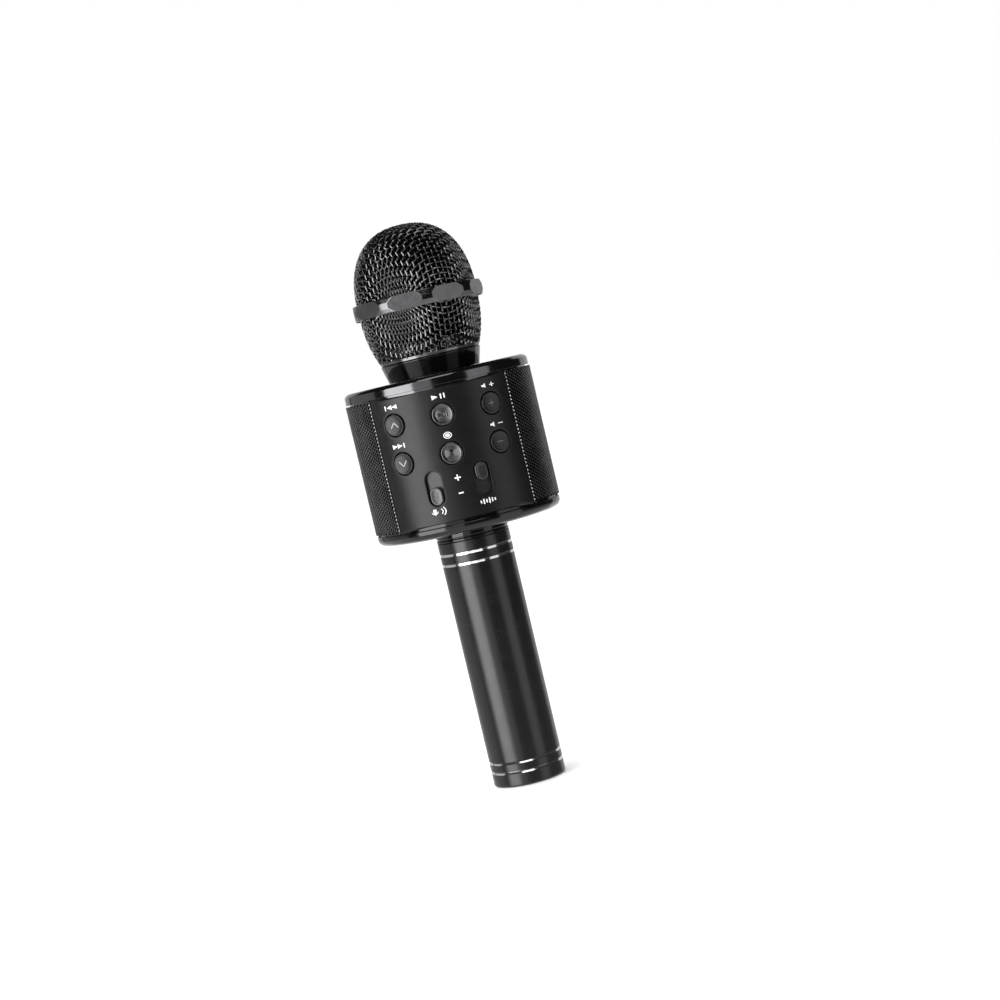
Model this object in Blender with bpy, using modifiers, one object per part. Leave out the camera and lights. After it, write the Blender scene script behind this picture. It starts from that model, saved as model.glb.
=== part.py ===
"""Karaoke microphone with a loudspeaker drum, built as separate named pieces.

Frame: metres, +Z up along the microphone's axis, origin at the centre of the tail's flat end.
The control panel faces -Y and +X is to its right. Azimuth 0 is the front, positive towards +X.
"""
import math

import bmesh
import bpy
from mathutils import Matrix

MM = 0.001
GAP = 0.3 * MM                      # clearance between pieces that touch

# Head
HEAD_RADIUS = 26.4 * MM             # widest radius of the wire mesh
DOME_CENTRE_Z = 213.8 * MM          # height at which the dome is widest
DOME_HEIGHT = 33.7 * MM             # from there to the top
DOME_POWER = 2.4                    # 2 would be an ellipse; higher is squarer
BASKET_ARC = 45.2 * MM              # radius of the lower mesh's side, seen from the side
MESH_WALL = 1.2 * MM
RING_LOW, RING_HIGH = 210.5 * MM, 217.1 * MM
RING_CORNER, RING_EDGE, RING_FLAT = 28.85 * MM, 28.2 * MM, 27.8 * MM
RING_BORE = 25.0 * MM
RING_FLATS = 9
RING_TURN = math.radians(-10.0)     # azimuth of the flat nearest the front
RIM_LOW, RIM_HIGH = 189.3 * MM, 190.9 * MM
FOAM_WALL = 3.0 * MM

# Neck
NECK_FOOT_RADIUS, NECK_TOP_RADIUS = 20.0 * MM, 22.0 * MM
NECK_BORE = 15.0 * MM
NECK_SPIGOT = 17.2 * MM
THREAD_RADIUS = 18.8 * MM           # male thread that the head screws on to
THREAD_TOP = 196.0 * MM

# Drum
DRUM_RADIUS = 41.0 * MM
PANEL_RADIUS = 40.9 * MM
TRIM_RADIUS = 40.5 * MM
DRUM_LOW, DRUM_HIGH = 113.9 * MM, 181.3 * MM
TRIM_HEIGHT = 4.5 * MM
TRIM_ROUND = 1.6 * MM
PANEL_WALL = 1.9 * MM
GRILLE_WALL = 1.2 * MM
PANEL_HALF_ANGLE = math.radians(44.8)
SEAM_ANGLE = math.radians(0.4)
CHASSIS_RADIUS, CHASSIS_WALL = 38.5 * MM, 1.7 * MM
CHASSIS_FLANGE = 30.0 * MM          # inner radius of the chassis's end flanges
BAFFLE_X, BAFFLE_WALL = 28.9 * MM, 1.6 * MM
SPEAKER_Z = 147.8 * MM
SPEAKER_OPENING = 20.0 * MM

# Controls
BUTTON_AZIMUTH = math.radians(30.6)
BUTTON_HIGH_Z, BUTTON_LOW_Z = 164.2 * MM, 147.7 * MM
BUTTON_RADIUS, BUTTON_HOLE = 4.55 * MM, 5.0 * MM
BUTTON_TOP = 41.2 * MM              # distance of the cap's rim from the drum's axis
SLIDER_AZIMUTH = math.radians(14.6)
SLIDER_Z = 134.6 * MM
SLOT_WIDTH, SLOT_LENGTH = 7.0 * MM, 14.8 * MM
KNOB_WIDTH, KNOB_LENGTH = 5.4 * MM, 7.6 * MM
SLIDER_TRAVEL = 6.4 * MM
BOARD_RADIUS, BOARD_WALL = 32.0 * MM, 1.0 * MM
BOARD_LOW, BOARD_HIGH = 122.0 * MM, 173.0 * MM
BOARD_HALF_ANGLE = math.radians(43.0)

# Rear
REAR_BOARD_Y, REAR_BOARD_WALL, REAR_BOARD_WIDTH = 26.5 * MM, 1.6 * MM, 34.0 * MM
PORT_Z = 130.0 * MM
PORT_X = 9.5 * MM
CARD_Z = 138.5 * MM
LED_Z = 147.0 * MM
POWER_Z = 160.0 * MM
POWER_TRAVEL = 3.0 * MM

# Handle
HANDLE_RADIUS, HANDLE_WALL = 15.95 * MM, 1.4 * MM
COLLAR_RADIUS = 16.2 * MM
COLLAR_LOW = 109.4 * MM
SPIGOT_RADIUS, SPIGOT_LOW = 14.2 * MM, 102.0 * MM
GROOVE_WIDTH, GROOVE_FLOOR, GROOVE_DEPTH = 1.1 * MM, 0.5 * MM, 0.35 * MM
GROOVES = [6.4 * MM, 99.4 * MM, 103.9 * MM]
CAP_SEAM = 10.7 * MM                # the fourth ring, where the tail cap parts from the tube
CAP_SPIGOT_TOP = 16.5 * MM
BATTERY_RADIUS, BATTERY_LOW, BATTERY_LENGTH = 9.2 * MM, 18.0 * MM, 65.0 * MM
SLEEVE_TOP = 86.5 * MM

SEGMENTS_DRUM = 40
SEGMENTS_HEAD = 32
SEGMENTS_HANDLE = 32
SEGMENTS_INSIDE = 18
SEGMENTS_BUTTON = 16
SEGMENTS_SCREW = 10
WALL_STEPS = 12                     # facets across a curved wall of the drum

BLACK = (0.012, 0.012, 0.013)
GLOSSY_BLACK = (BLACK, 0.12, 0.0)
MATT_BLACK = ((0.022, 0.022, 0.024), 0.45, 0.0)
WIRE_BLACK = ((0.010, 0.010, 0.011), 0.30, 0.4)
DARK_METAL = ((0.060, 0.060, 0.063), 0.25, 1.0)
BRIGHT_METAL = ((0.75, 0.75, 0.76), 0.25, 1.0)
BRASS = ((0.80, 0.62, 0.30), 0.30, 1.0)
FOAM = ((0.015, 0.015, 0.016), 0.95, 0.0)
BOARD = ((0.02, 0.10, 0.05), 0.5, 0.0)
PAPER = ((0.03, 0.03, 0.03), 0.8, 0.0)
WRAP = ((0.05, 0.18, 0.42), 0.35, 0.0)
WHITE = ((0.8, 0.8, 0.8), 0.4, 0.0)


def clear_scene():
    for obj in list(bpy.data.objects):
        bpy.data.objects.remove(obj, do_unlink=True)


def make_collection(name):
    collection = bpy.data.collections.new(name)
    bpy.context.scene.collection.children.link(collection)
    return collection


clear_scene()
PARTS = make_collection("karaoke_microphone")
CUTTERS = make_collection("cutters")


def add_object(name, data, finish=None):
    """Link a shape as a part with its own material or, without a finish, as a hidden cutter."""
    obj = bpy.data.objects.new(name, data)
    if finish is None:
        CUTTERS.objects.link(obj)
        obj.hide_render = True
        obj.display_type = "WIRE"
        return obj
    PARTS.objects.link(obj)
    colour, roughness, metallic = finish
    material = bpy.data.materials.new(name)
    material.use_nodes = True
    shader = material.node_tree.nodes["Principled BSDF"]
    shader.inputs["Base Color"].default_value = (*colour, 1.0)
    shader.inputs["Roughness"].default_value = roughness
    shader.inputs["Metallic"].default_value = metallic
    data.materials.append(material)
    return obj


def screw_modifier(obj, angle, steps):
    screw = obj.modifiers.new("Turn", "SCREW")
    screw.axis = "Z"
    screw.angle = angle
    screw.steps = steps
    screw.render_steps = steps
    screw.use_merge_vertices = True
    screw.merge_threshold = 0.01 * MM
    screw.use_smooth_shade = True


def turned(name, profile, finish=None, segments=SEGMENTS_INSIDE):
    """Turn a profile of (radius, height) points, listed down its outer side, about local Z.

    A profile that starts and ends on the axis makes a solid; any other one is closed into a ring.
    """
    mesh = bpy.data.meshes.new(name)
    count = len(profile)
    edges = [(i, i + 1) for i in range(count - 1)]
    if profile[0][0] > 0.0:
        edges.append((count - 1, 0))
    mesh.from_pydata([(radius, 0.0, height) for radius, height in profile], edges, [])
    obj = add_object(name, mesh, finish)
    screw_modifier(obj, 2.0 * math.pi, segments)
    return obj


def cylinder(name, radius, low, high, finish=None, segments=SEGMENTS_INSIDE):
    return turned(name, [(0.0, high), (radius, high), (radius, low), (0.0, low)], finish, segments)


def tube(name, outer, inner, low, high, finish=None, segments=SEGMENTS_INSIDE):
    profile = [(outer, high), (outer, low), (inner, low), (inner, high)]
    return turned(name, profile, finish, segments)


def box(name, low, high, finish=None):
    """Make a box between two corners, in local coordinates."""
    bm = bmesh.new()
    bmesh.ops.create_cube(bm, size=1.0)
    size = [b - a for a, b in zip(low, high)]
    centre = [(a + b) / 2.0 for a, b in zip(low, high)]
    bmesh.ops.scale(bm, vec=size, verts=bm.verts)
    bmesh.ops.translate(bm, vec=centre, verts=bm.verts)
    mesh = bpy.data.meshes.new(name)
    bm.to_mesh(mesh)
    bm.free()
    return add_object(name, mesh, finish)


def oblong(name, width, length, low, high, finish=None, x=0.0, y=0.0):
    """Make a round-ended block, long in local Y, between two heights along local Z."""
    half_step = math.pi / SEGMENTS_BUTTON
    radius = width / 2.0 / math.cos(half_step)
    bm = bmesh.new()
    bmesh.ops.create_cone(bm, cap_ends=True, segments=SEGMENTS_BUTTON, radius1=radius,
                          radius2=radius, depth=high - low, matrix=Matrix.Rotation(half_step, 4, "Z"))
    straight = (length - width) / 2.0
    for vertex in bm.verts:
        vertex.co.y += math.copysign(straight, vertex.co.y)
    bmesh.ops.translate(bm, vec=(x, y, (low + high) / 2.0), verts=bm.verts)
    mesh = bpy.data.meshes.new(name)
    bm.to_mesh(mesh)
    bm.free()
    return add_object(name, mesh, finish)


def arc_wall(name, radius, wall, low, high, centre, half_angle, finish, steps):
    """Make a curved wall of the drum: an open cylinder patch thickened inwards."""
    mesh = bpy.data.meshes.new(name)
    mesh.from_pydata([(radius, 0.0, high), (radius, 0.0, low)], [(0, 1)], [])
    obj = add_object(name, mesh, finish)
    screw_modifier(obj, 2.0 * half_angle, steps)
    solidify = obj.modifiers.new("Wall", "SOLIDIFY")
    solidify.thickness = wall
    solidify.offset = -1.0
    obj.rotation_euler.z = centre - half_angle - math.pi / 2.0
    return obj


def face_out(obj, azimuth, z):
    """Aim local Z away from the drum's axis, keep local Y up; heights become radii."""
    obj.location.z = z
    obj.rotation_euler = (math.pi / 2.0, 0.0, azimuth)
    return obj


def boolean(obj, other, operation):
    modifier = obj.modifiers.new(other.name, "BOOLEAN")
    modifier.operation = operation
    modifier.object = other


def cut(obj, *cutters):
    for cutter in cutters:
        boolean(obj, cutter, "DIFFERENCE")


def join(obj, *additions):
    for addition in additions:
        boolean(obj, addition, "UNION")


def arc(centre, radius, start_degrees, end_degrees, steps):
    """Points of an arc in the (radius, height) plane, angles counted from the outward direction."""
    points = []
    for i in range(steps + 1):
        angle = math.radians(start_degrees + (end_degrees - start_degrees) * i / steps)
        points.append((centre[0] + radius * math.cos(angle), centre[1] + radius * math.sin(angle)))
    return points


def wire(name, points, radius, finish):
    """Make a round wire along a list of points."""
    curve = bpy.data.curves.new(name, "CURVE")
    curve.dimensions = "3D"
    curve.bevel_depth = radius
    curve.bevel_resolution = 2
    curve.use_fill_caps = True
    spline = curve.splines.new("POLY")
    spline.points.add(len(points) - 1)
    for target, point in zip(spline.points, points):
        target.co = (*point, 1.0)
    return add_object(name, curve, finish)


# Head

def basket_radius(z):
    drop = RING_LOW - z
    return HEAD_RADIUS - 0.25 * MM - BASKET_ARC + math.sqrt(BASKET_ARC ** 2 - drop ** 2)


def dome_profile(inset, low, steps):
    """Outline of the dome, moved inwards, from its top down to a height."""
    scale = (HEAD_RADIUS - inset) / HEAD_RADIUS
    top = DOME_CENTRE_Z + DOME_HEIGHT - inset
    points = []
    for i in range(steps + 1):
        slope = math.pi / 2.0 * (1.0 - i / steps)
        rise = math.sin(slope) ** (2.0 / DOME_POWER)
        z = max(low, DOME_CENTRE_Z + (top - DOME_CENTRE_Z) * rise)
        full = (z - DOME_CENTRE_Z) / (top - DOME_CENTRE_Z)
        radius = scale * HEAD_RADIUS * max(0.0, 1.0 - full ** DOME_POWER) ** (1.0 / DOME_POWER)
        points.append((0.0 if i == 0 else radius, z))
        if z == low:
            break
    return points


def basket_profile(inset, high, low, steps):
    points = []
    for i in range(steps + 1):
        z = high + (low - high) * i / steps
        points.append((basket_radius(z) - inset, z))
    return points


def build_head():
    dome_low = RING_HIGH + GAP
    outer = dome_profile(0.0, dome_low, 9)
    inner = dome_profile(MESH_WALL, dome_low, 6)
    turned("grille_dome", outer + inner[::-1], WIRE_BLACK, SEGMENTS_HEAD)

    basket_low = RIM_HIGH + GAP
    basket_high = RING_LOW - GAP
    outer = basket_profile(0.0, basket_high, basket_low, 4)
    inner = basket_profile(MESH_WALL, basket_high, basket_low, 3)
    turned("grille_basket", outer + inner[::-1], WIRE_BLACK, SEGMENTS_HEAD)

    build_anti_roll_ring()

    rim_outer = basket_radius(RIM_HIGH)
    band = rim_outer - MESH_WALL - GAP
    bore = THREAD_RADIUS + 0.4 * MM
    profile = [(band, THREAD_TOP - 0.2 * MM), (band, RIM_HIGH), (rim_outer, RIM_HIGH),
               (rim_outer - 0.1 * MM, RIM_LOW + 0.5 * MM), (rim_outer - 0.6 * MM, RIM_LOW),
               (bore, RIM_LOW), (bore, THREAD_TOP - 0.2 * MM)]
    turned("grille_rim", profile, BRIGHT_METAL, SEGMENTS_HEAD)

    inset = MESH_WALL + GAP
    foam_low = THREAD_TOP + 0.6 * MM
    sides = basket_profile(inset + 0.3 * MM, RING_LOW - 1.0 * MM, foam_low, 3)
    bore = RING_BORE - GAP
    outer = dome_profile(inset, RING_HIGH, 6) + [(bore, RING_HIGH), (bore, RING_LOW)] + sides
    wall = inset + FOAM_WALL
    inner_sides = basket_profile(wall, RING_LOW, foam_low, 2)
    inner = dome_profile(wall, RING_HIGH, 4) + inner_sides
    turned("foam_liner", outer + inner[::-1], FOAM, SEGMENTS_INSIDE)


def build_anti_roll_ring():
    """A band with chamfered edges, cut by upright flats that stop short of its corners."""
    middle = (RING_LOW + RING_HIGH) / 2.0
    band = 1.1 * MM
    profile = [(RING_EDGE, RING_HIGH), (RING_CORNER, middle + band), (RING_CORNER, middle - band),
               (RING_EDGE, RING_LOW), (RING_BORE, RING_LOW), (RING_BORE, RING_HIGH)]
    ring = turned("anti_roll_ring", profile, DARK_METAL, SEGMENTS_DRUM)
    bm = bmesh.new()
    bmesh.ops.create_cone(bm, cap_ends=True, segments=RING_FLATS,
                          radius1=RING_FLAT / math.cos(math.pi / RING_FLATS),
                          radius2=RING_FLAT / math.cos(math.pi / RING_FLATS),
                          depth=2.0 * (RING_HIGH - RING_LOW))
    mesh = bpy.data.meshes.new("ring_flats")
    bm.to_mesh(mesh)
    bm.free()
    flats = add_object("ring_flats", mesh)
    flats.location.z = middle
    flats.rotation_euler.z = RING_TURN
    boolean(ring, flats, "INTERSECT")


def build_capsule():
    deck = RIM_LOW + 0.3 * MM
    foot = deck + GAP
    cup_floor, cup_top = 206.0 * MM, 212.0 * MM
    capsule_radius = 8.0 * MM
    recess = capsule_radius + GAP
    profile = [(recess + 2.2 * MM, cup_top), (recess + 2.2 * MM, cup_floor - 2.0 * MM),
               (6.0 * MM, cup_floor - 3.5 * MM), (6.0 * MM, foot + 2.0 * MM),
               (9.0 * MM, foot + 1.2 * MM), (9.0 * MM, foot), (2.5 * MM, foot),
               (2.5 * MM, cup_floor), (recess, cup_floor), (recess, cup_top)]
    turned("capsule_mount", profile, FOAM)
    low = cup_floor + GAP
    high = low + 7.0 * MM
    profile = [(0.0, high), (capsule_radius - 1.0 * MM, high), (capsule_radius, high - 0.8 * MM),
               (capsule_radius, low), (0.0, low)]
    turned("mic_capsule", profile, BRIGHT_METAL)
    route = [(0.0, 0.0, 205.0), (0.0, -0.2, 198.0), (0.0, -0.8, 191.0), (0.0, -2.4, 185.0),
             (0.0, -5.0, 179.0), (0.0, -9.5, 173.0), (0.0, -16.0, 168.5), (0.0, -23.0, 166.5),
             (0.0, -30.2, 166.0)]
    wire("capsule_lead", [[value * MM for value in point] for point in route], 0.8 * MM, PAPER)


def build_neck():
    foot = DRUM_HIGH + GAP
    top = RIM_LOW - GAP
    deck = RIM_LOW + 0.3 * MM
    inner_thread = THREAD_RADIUS - 2.0 * MM
    profile = [(THREAD_RADIUS, THREAD_TOP - 0.5 * MM), (THREAD_RADIUS, top), (NECK_TOP_RADIUS, top),
               (NECK_FOOT_RADIUS, foot), (NECK_SPIGOT, foot),
               (NECK_SPIGOT, DRUM_HIGH - TRIM_HEIGHT - 3.0 * MM),
               (NECK_BORE, DRUM_HIGH - TRIM_HEIGHT - 3.0 * MM), (NECK_BORE, deck - 1.5 * MM),
               (3.0 * MM, deck - 1.5 * MM), (3.0 * MM, deck), (inner_thread, deck),
               (inner_thread, THREAD_TOP - 0.5 * MM)]
    turned("neck_collar", profile, GLOSSY_BLACK, SEGMENTS_HEAD)
    nut_top = DRUM_HIGH - TRIM_HEIGHT - GAP
    tube("neck_nut", NECK_SPIGOT + 3.5 * MM, NECK_SPIGOT + GAP, nut_top - 2.6 * MM, nut_top,
         MATT_BLACK, SEGMENTS_HEAD)


# Drum

def build_trims():
    """Flat end covers with a rounded outer edge."""
    low = DRUM_HIGH - TRIM_HEIGHT
    edge = arc((TRIM_RADIUS - TRIM_ROUND, DRUM_HIGH - TRIM_ROUND), TRIM_ROUND, 90.0, 0.0, 3)
    bore = NECK_SPIGOT + GAP
    profile = [(bore, DRUM_HIGH)] + edge + [(TRIM_RADIUS, low), (bore, low)]
    turned("top_trim", profile, GLOSSY_BLACK, SEGMENTS_DRUM)

    high = DRUM_LOW + TRIM_HEIGHT
    edge = arc((TRIM_RADIUS - TRIM_ROUND, DRUM_LOW + TRIM_ROUND), TRIM_ROUND, 0.0, -90.0, 3)
    bore = SPIGOT_RADIUS + GAP
    profile = [(bore, high), (TRIM_RADIUS, high)] + edge + [(bore, DRUM_LOW)]
    trim = turned("bottom_trim", profile, GLOSSY_BLACK, SEGMENTS_DRUM)
    for i, (x, y) in enumerate(screw_places(), 1):
        well = turned(f"screw_well_{i}", [
            (0.0, high + 1.0 * MM), (1.4 * MM, high + 1.0 * MM), (1.4 * MM, DRUM_LOW + 1.9 * MM),
            (2.9 * MM, DRUM_LOW + 1.9 * MM), (2.9 * MM, DRUM_LOW - 1.0 * MM),
            (0.0, DRUM_LOW - 1.0 * MM)], None, SEGMENTS_SCREW)
        well.location = (x, y, 0.0)
        cut(trim, well)


def screw_places():
    radius = 33.8 * MM
    return [(radius * math.sin(math.radians(azimuth)), -radius * math.cos(math.radians(azimuth)))
            for azimuth in (45.0, 135.0, 225.0, 315.0)]


def build_base_screws():
    """Cross-head screws that enter from below; the cross is sunk into each head."""
    head_low, head_high = DRUM_LOW + 0.2 * MM, DRUM_LOW + 1.6 * MM
    tip = DRUM_LOW + TRIM_HEIGHT + 4.5 * MM
    shank, head = 1.1 * MM, 2.6 * MM
    profile = [(0.0, tip), (shank - 0.4 * MM, tip), (shank, tip - 0.6 * MM), (shank, head_high),
               (head, head_high), (head, head_low + 0.5 * MM), (head - 0.6 * MM, head_low),
               (0.0, head_low)]
    arm, half_width, depth = 1.5 * MM, 0.3 * MM, 0.8 * MM
    for i, (x, y) in enumerate(screw_places(), 1):
        screw = turned(f"base_screw_{i}", profile, DARK_METAL, SEGMENTS_SCREW)
        screw.location = (x, y, 0.0)
        for axis, (half_x, half_y) in (("x", (arm, half_width)), ("y", (half_width, arm))):
            slot = box(f"screw_cross_{axis}_{i}", (-half_x, -half_y, head_low - depth),
                       (half_x, half_y, head_low + depth))
            slot.location = (x, y, 0.0)
            cut(screw, slot)


def build_walls():
    low = DRUM_LOW + TRIM_HEIGHT + GAP
    high = DRUM_HIGH - TRIM_HEIGHT - GAP
    front = arc_wall("front_panel", PANEL_RADIUS, PANEL_WALL, low, high, 0.0, PANEL_HALF_ANGLE,
                     MATT_BLACK, WALL_STEPS)
    for name, azimuth, z in BUTTONS:
        hole = cylinder(f"hole_{name}", BUTTON_HOLE, 30.0 * MM, 50.0 * MM, None, SEGMENTS_BUTTON)
        cut(front, face_out(hole, azimuth, z))
    for name, azimuth in SLIDERS:
        slot = oblong(f"slot_{name}", SLOT_WIDTH, SLOT_LENGTH, 30.0 * MM, 50.0 * MM)
        cut(front, face_out(slot, azimuth, SLIDER_Z))
    rear = arc_wall("rear_panel", PANEL_RADIUS, PANEL_WALL, low, high, math.pi, PANEL_HALF_ANGLE,
                    MATT_BLACK, WALL_STEPS)
    cut(rear, *rear_openings())
    side = math.pi / 2.0 - PANEL_HALF_ANGLE - SEAM_ANGLE
    for name, azimuth in (("left", -math.pi / 2.0), ("right", math.pi / 2.0)):
        arc_wall(f"speaker_grille_{name}", DRUM_RADIUS, GRILLE_WALL, low, high, azimuth, side,
                 WIRE_BLACK, WALL_STEPS)


def rear_openings():
    """Cutters through the rear panel; their local X points to the microphone's left."""
    inside, outside = 34.0 * MM, 50.0 * MM
    usb = oblong("opening_usb", 3.6 * MM, 9.0 * MM, inside, outside)
    usb.rotation_euler = (math.pi / 2.0, math.pi / 2.0, math.pi)
    usb.location = (-PORT_X, 0.0, PORT_Z)
    jack = face_out(cylinder("opening_jack", 3.4 * MM, inside, outside), math.pi, PORT_Z)
    jack.location.x = PORT_X
    card = box("opening_card", (-7.0 * MM, -1.3 * MM, inside), (7.0 * MM, 1.3 * MM, outside))
    led = cylinder("opening_led", 1.4 * MM, inside, outside, None, SEGMENTS_SCREW)
    power = box("opening_power", (-2.2 * MM, -4.4 * MM, inside), (2.2 * MM, 4.4 * MM, outside))
    return [usb, jack, face_out(card, math.pi, CARD_Z), face_out(led, math.pi, LED_Z),
            face_out(power, math.pi, POWER_Z)]


def build_chassis():
    """Barrel with end flanges, two speaker baffles, and ribs that hold the boards' edges."""
    low = DRUM_LOW + TRIM_HEIGHT + GAP
    high = DRUM_HIGH - TRIM_HEIGHT - GAP
    inner = CHASSIS_RADIUS - CHASSIS_WALL
    flange = 1.6 * MM
    profile = [(CHASSIS_RADIUS, high), (CHASSIS_RADIUS, low), (CHASSIS_FLANGE, low),
               (CHASSIS_FLANGE, low + flange), (inner, low + flange), (inner, high - flange),
               (CHASSIS_FLANGE, high - flange), (CHASSIS_FLANGE, high)]
    chassis = turned("drum_chassis", profile, MATT_BLACK, SEGMENTS_DRUM)
    inside_low, inside_high = low + flange - 0.2 * MM, high - flange + 0.2 * MM
    window_low, window_high = low + 2.6 * MM, high - 2.6 * MM
    cut(chassis,
        box("window_front", (-26.0 * MM, -45.0 * MM, window_low), (26.0 * MM, -20.0 * MM, window_high)),
        box("window_rear", (-21.0 * MM, 20.0 * MM, window_low), (21.0 * MM, 45.0 * MM, window_high)),
        box("shutter_notch", (-15.5 * MM, -45.0 * MM, low - MM), (15.5 * MM, -34.5 * MM, window_low + MM)))
    for name, sign in (("left", -1.0), ("right", 1.0)):
        near, far = sorted((sign * BAFFLE_X, sign * (BAFFLE_X + BAFFLE_WALL)))
        baffle = box(f"baffle_{name}", (near, -22.5 * MM, inside_low), (far, 22.5 * MM, inside_high))
        rib = box(f"rib_front_{name}", (-0.8 * MM, inside_low, 30.0 * MM),
                  (0.8 * MM, inside_high, CHASSIS_RADIUS - 0.4 * MM))
        face_out(rib, sign * math.radians(45.6), 0.0)
        near, far = sorted((sign * 17.6 * MM, sign * 19.2 * MM))
        rib_rear = box(f"rib_rear_{name}", (near, 23.5 * MM, inside_low), (far, 32.6 * MM, inside_high))
        join(chassis, baffle, rib, rib_rear)
    sound = cylinder("sound_opening", SPEAKER_OPENING, -50.0 * MM, 50.0 * MM, None, SEGMENTS_INSIDE)
    sound.rotation_euler.y = math.pi / 2.0
    sound.location.z = SPEAKER_Z
    cut(chassis, sound)
    for i, (x, y) in enumerate(screw_places(), 1):
        pilot = cylinder(f"screw_pilot_{i}", 1.4 * MM, low - 1.0 * MM, low + 5.0 * MM, None,
                         SEGMENTS_SCREW)
        pilot.location = (x, y, 0.0)
        cut(chassis, pilot)


# Controls

BUTTONS = [
    ("previous", -BUTTON_AZIMUTH, BUTTON_HIGH_Z),
    ("next", -BUTTON_AZIMUTH, BUTTON_LOW_Z),
    ("play", 0.0, BUTTON_HIGH_Z),
    ("record", 0.0, BUTTON_LOW_Z),
    ("volume_up", BUTTON_AZIMUTH, BUTTON_HIGH_Z),
    ("volume_down", BUTTON_AZIMUTH, BUTTON_LOW_Z),
]
SLIDERS = [("mic_volume", -SLIDER_AZIMUTH), ("remix", SLIDER_AZIMUTH)]


def build_buttons():
    """Dished caps with a flange behind the panel and a stem, each over its own switch."""
    flange, flange_wall = 5.5 * MM, 0.6 * MM
    flange_top = math.sqrt((PANEL_RADIUS - PANEL_WALL) ** 2 - flange ** 2) - GAP
    switch_base = BOARD_RADIUS + GAP
    switch_top = switch_base + 3.2 * MM
    plunger_top = switch_top + 0.8 * MM
    stem, stem_end = 1.5 * MM, plunger_top + 0.7 * MM
    cap = [(0.0, BUTTON_TOP - 0.25 * MM), (2.4 * MM, BUTTON_TOP - 0.2 * MM),
           (BUTTON_RADIUS - 0.5 * MM, BUTTON_TOP), (BUTTON_RADIUS, BUTTON_TOP - 0.4 * MM),
           (BUTTON_RADIUS, flange_top), (flange, flange_top), (flange, flange_top - flange_wall),
           (stem, flange_top - flange_wall), (stem, stem_end), (0.0, stem_end)]
    half = 3.0 * MM
    for name, azimuth, z in BUTTONS:
        button = turned(f"button_{name}", cap, MATT_BLACK, SEGMENTS_BUTTON)
        face_out(button, azimuth, z)
        switch = box(f"switch_{name}", (-half, -half, switch_base), (half, half, switch_top), MATT_BLACK)
        plunger = cylinder(f"plunger_{name}", 1.7 * MM, switch_top - 0.5 * MM, plunger_top, None,
                           SEGMENTS_SCREW)
        join(switch, plunger)
        face_out(switch, azimuth, z)
        face_out(plunger, azimuth, z)


def build_sliders():
    """Oval knobs, each on a shutter plate that keeps its slot closed at both ends of travel."""
    plate_top = PANEL_RADIUS - PANEL_WALL - 0.5 * MM
    plate_wall, plate_width = 0.7 * MM, 7.6 * MM
    plate_length = SLOT_LENGTH + SLIDER_TRAVEL + 0.6 * MM
    pot_base = BOARD_RADIUS + GAP
    pot_top = pot_base + 3.5 * MM
    stem_half, stem_end = 0.8 * MM, pot_top - 1.4 * MM
    knob_top = PANEL_RADIUS + 0.2 * MM
    for name, azimuth in SLIDERS:
        side = -1.0 if name == "mic_volume" else 1.0
        z = SLIDER_Z + side * SLIDER_TRAVEL / 2.0
        slider = oblong(f"slider_{name}", KNOB_WIDTH, KNOB_LENGTH, plate_top - 0.3 * MM, knob_top,
                        MATT_BLACK)
        plate = box(f"shutter_{name}", (-plate_width / 2.0, -plate_length / 2.0, plate_top - plate_wall),
                    (plate_width / 2.0, plate_length / 2.0, plate_top))
        stem = box(f"slider_stem_{name}", (-stem_half, -stem_half, stem_end),
                   (stem_half, stem_half, plate_top - 0.2 * MM))
        join(slider, plate, stem)
        for piece in (slider, plate, stem):
            face_out(piece, azimuth, z)
        pot = box(f"pot_{name}", (-4.0 * MM, -11.0 * MM, pot_base), (4.0 * MM, 11.0 * MM, pot_top),
                  DARK_METAL)
        reach = SLIDER_TRAVEL / 2.0 + stem_half + 0.5 * MM
        groove = box(f"pot_groove_{name}", (-1.3 * MM, -reach, pot_top - 2.2 * MM),
                     (1.3 * MM, reach, pot_top + 1.0 * MM))
        cut(pot, groove)
        face_out(pot, azimuth, SLIDER_Z)
        face_out(groove, azimuth, SLIDER_Z)


def build_boards():
    arc_wall("control_board", BOARD_RADIUS, BOARD_WALL, BOARD_LOW, BOARD_HIGH, 0.0,
             BOARD_HALF_ANGLE, BOARD, WALL_STEPS)
    half = REAR_BOARD_WIDTH / 2.0
    box("rear_board", (-half, REAR_BOARD_Y - REAR_BOARD_WALL, BOARD_LOW),
        (half, REAR_BOARD_Y, BOARD_HIGH), BOARD)


# Rear

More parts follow.
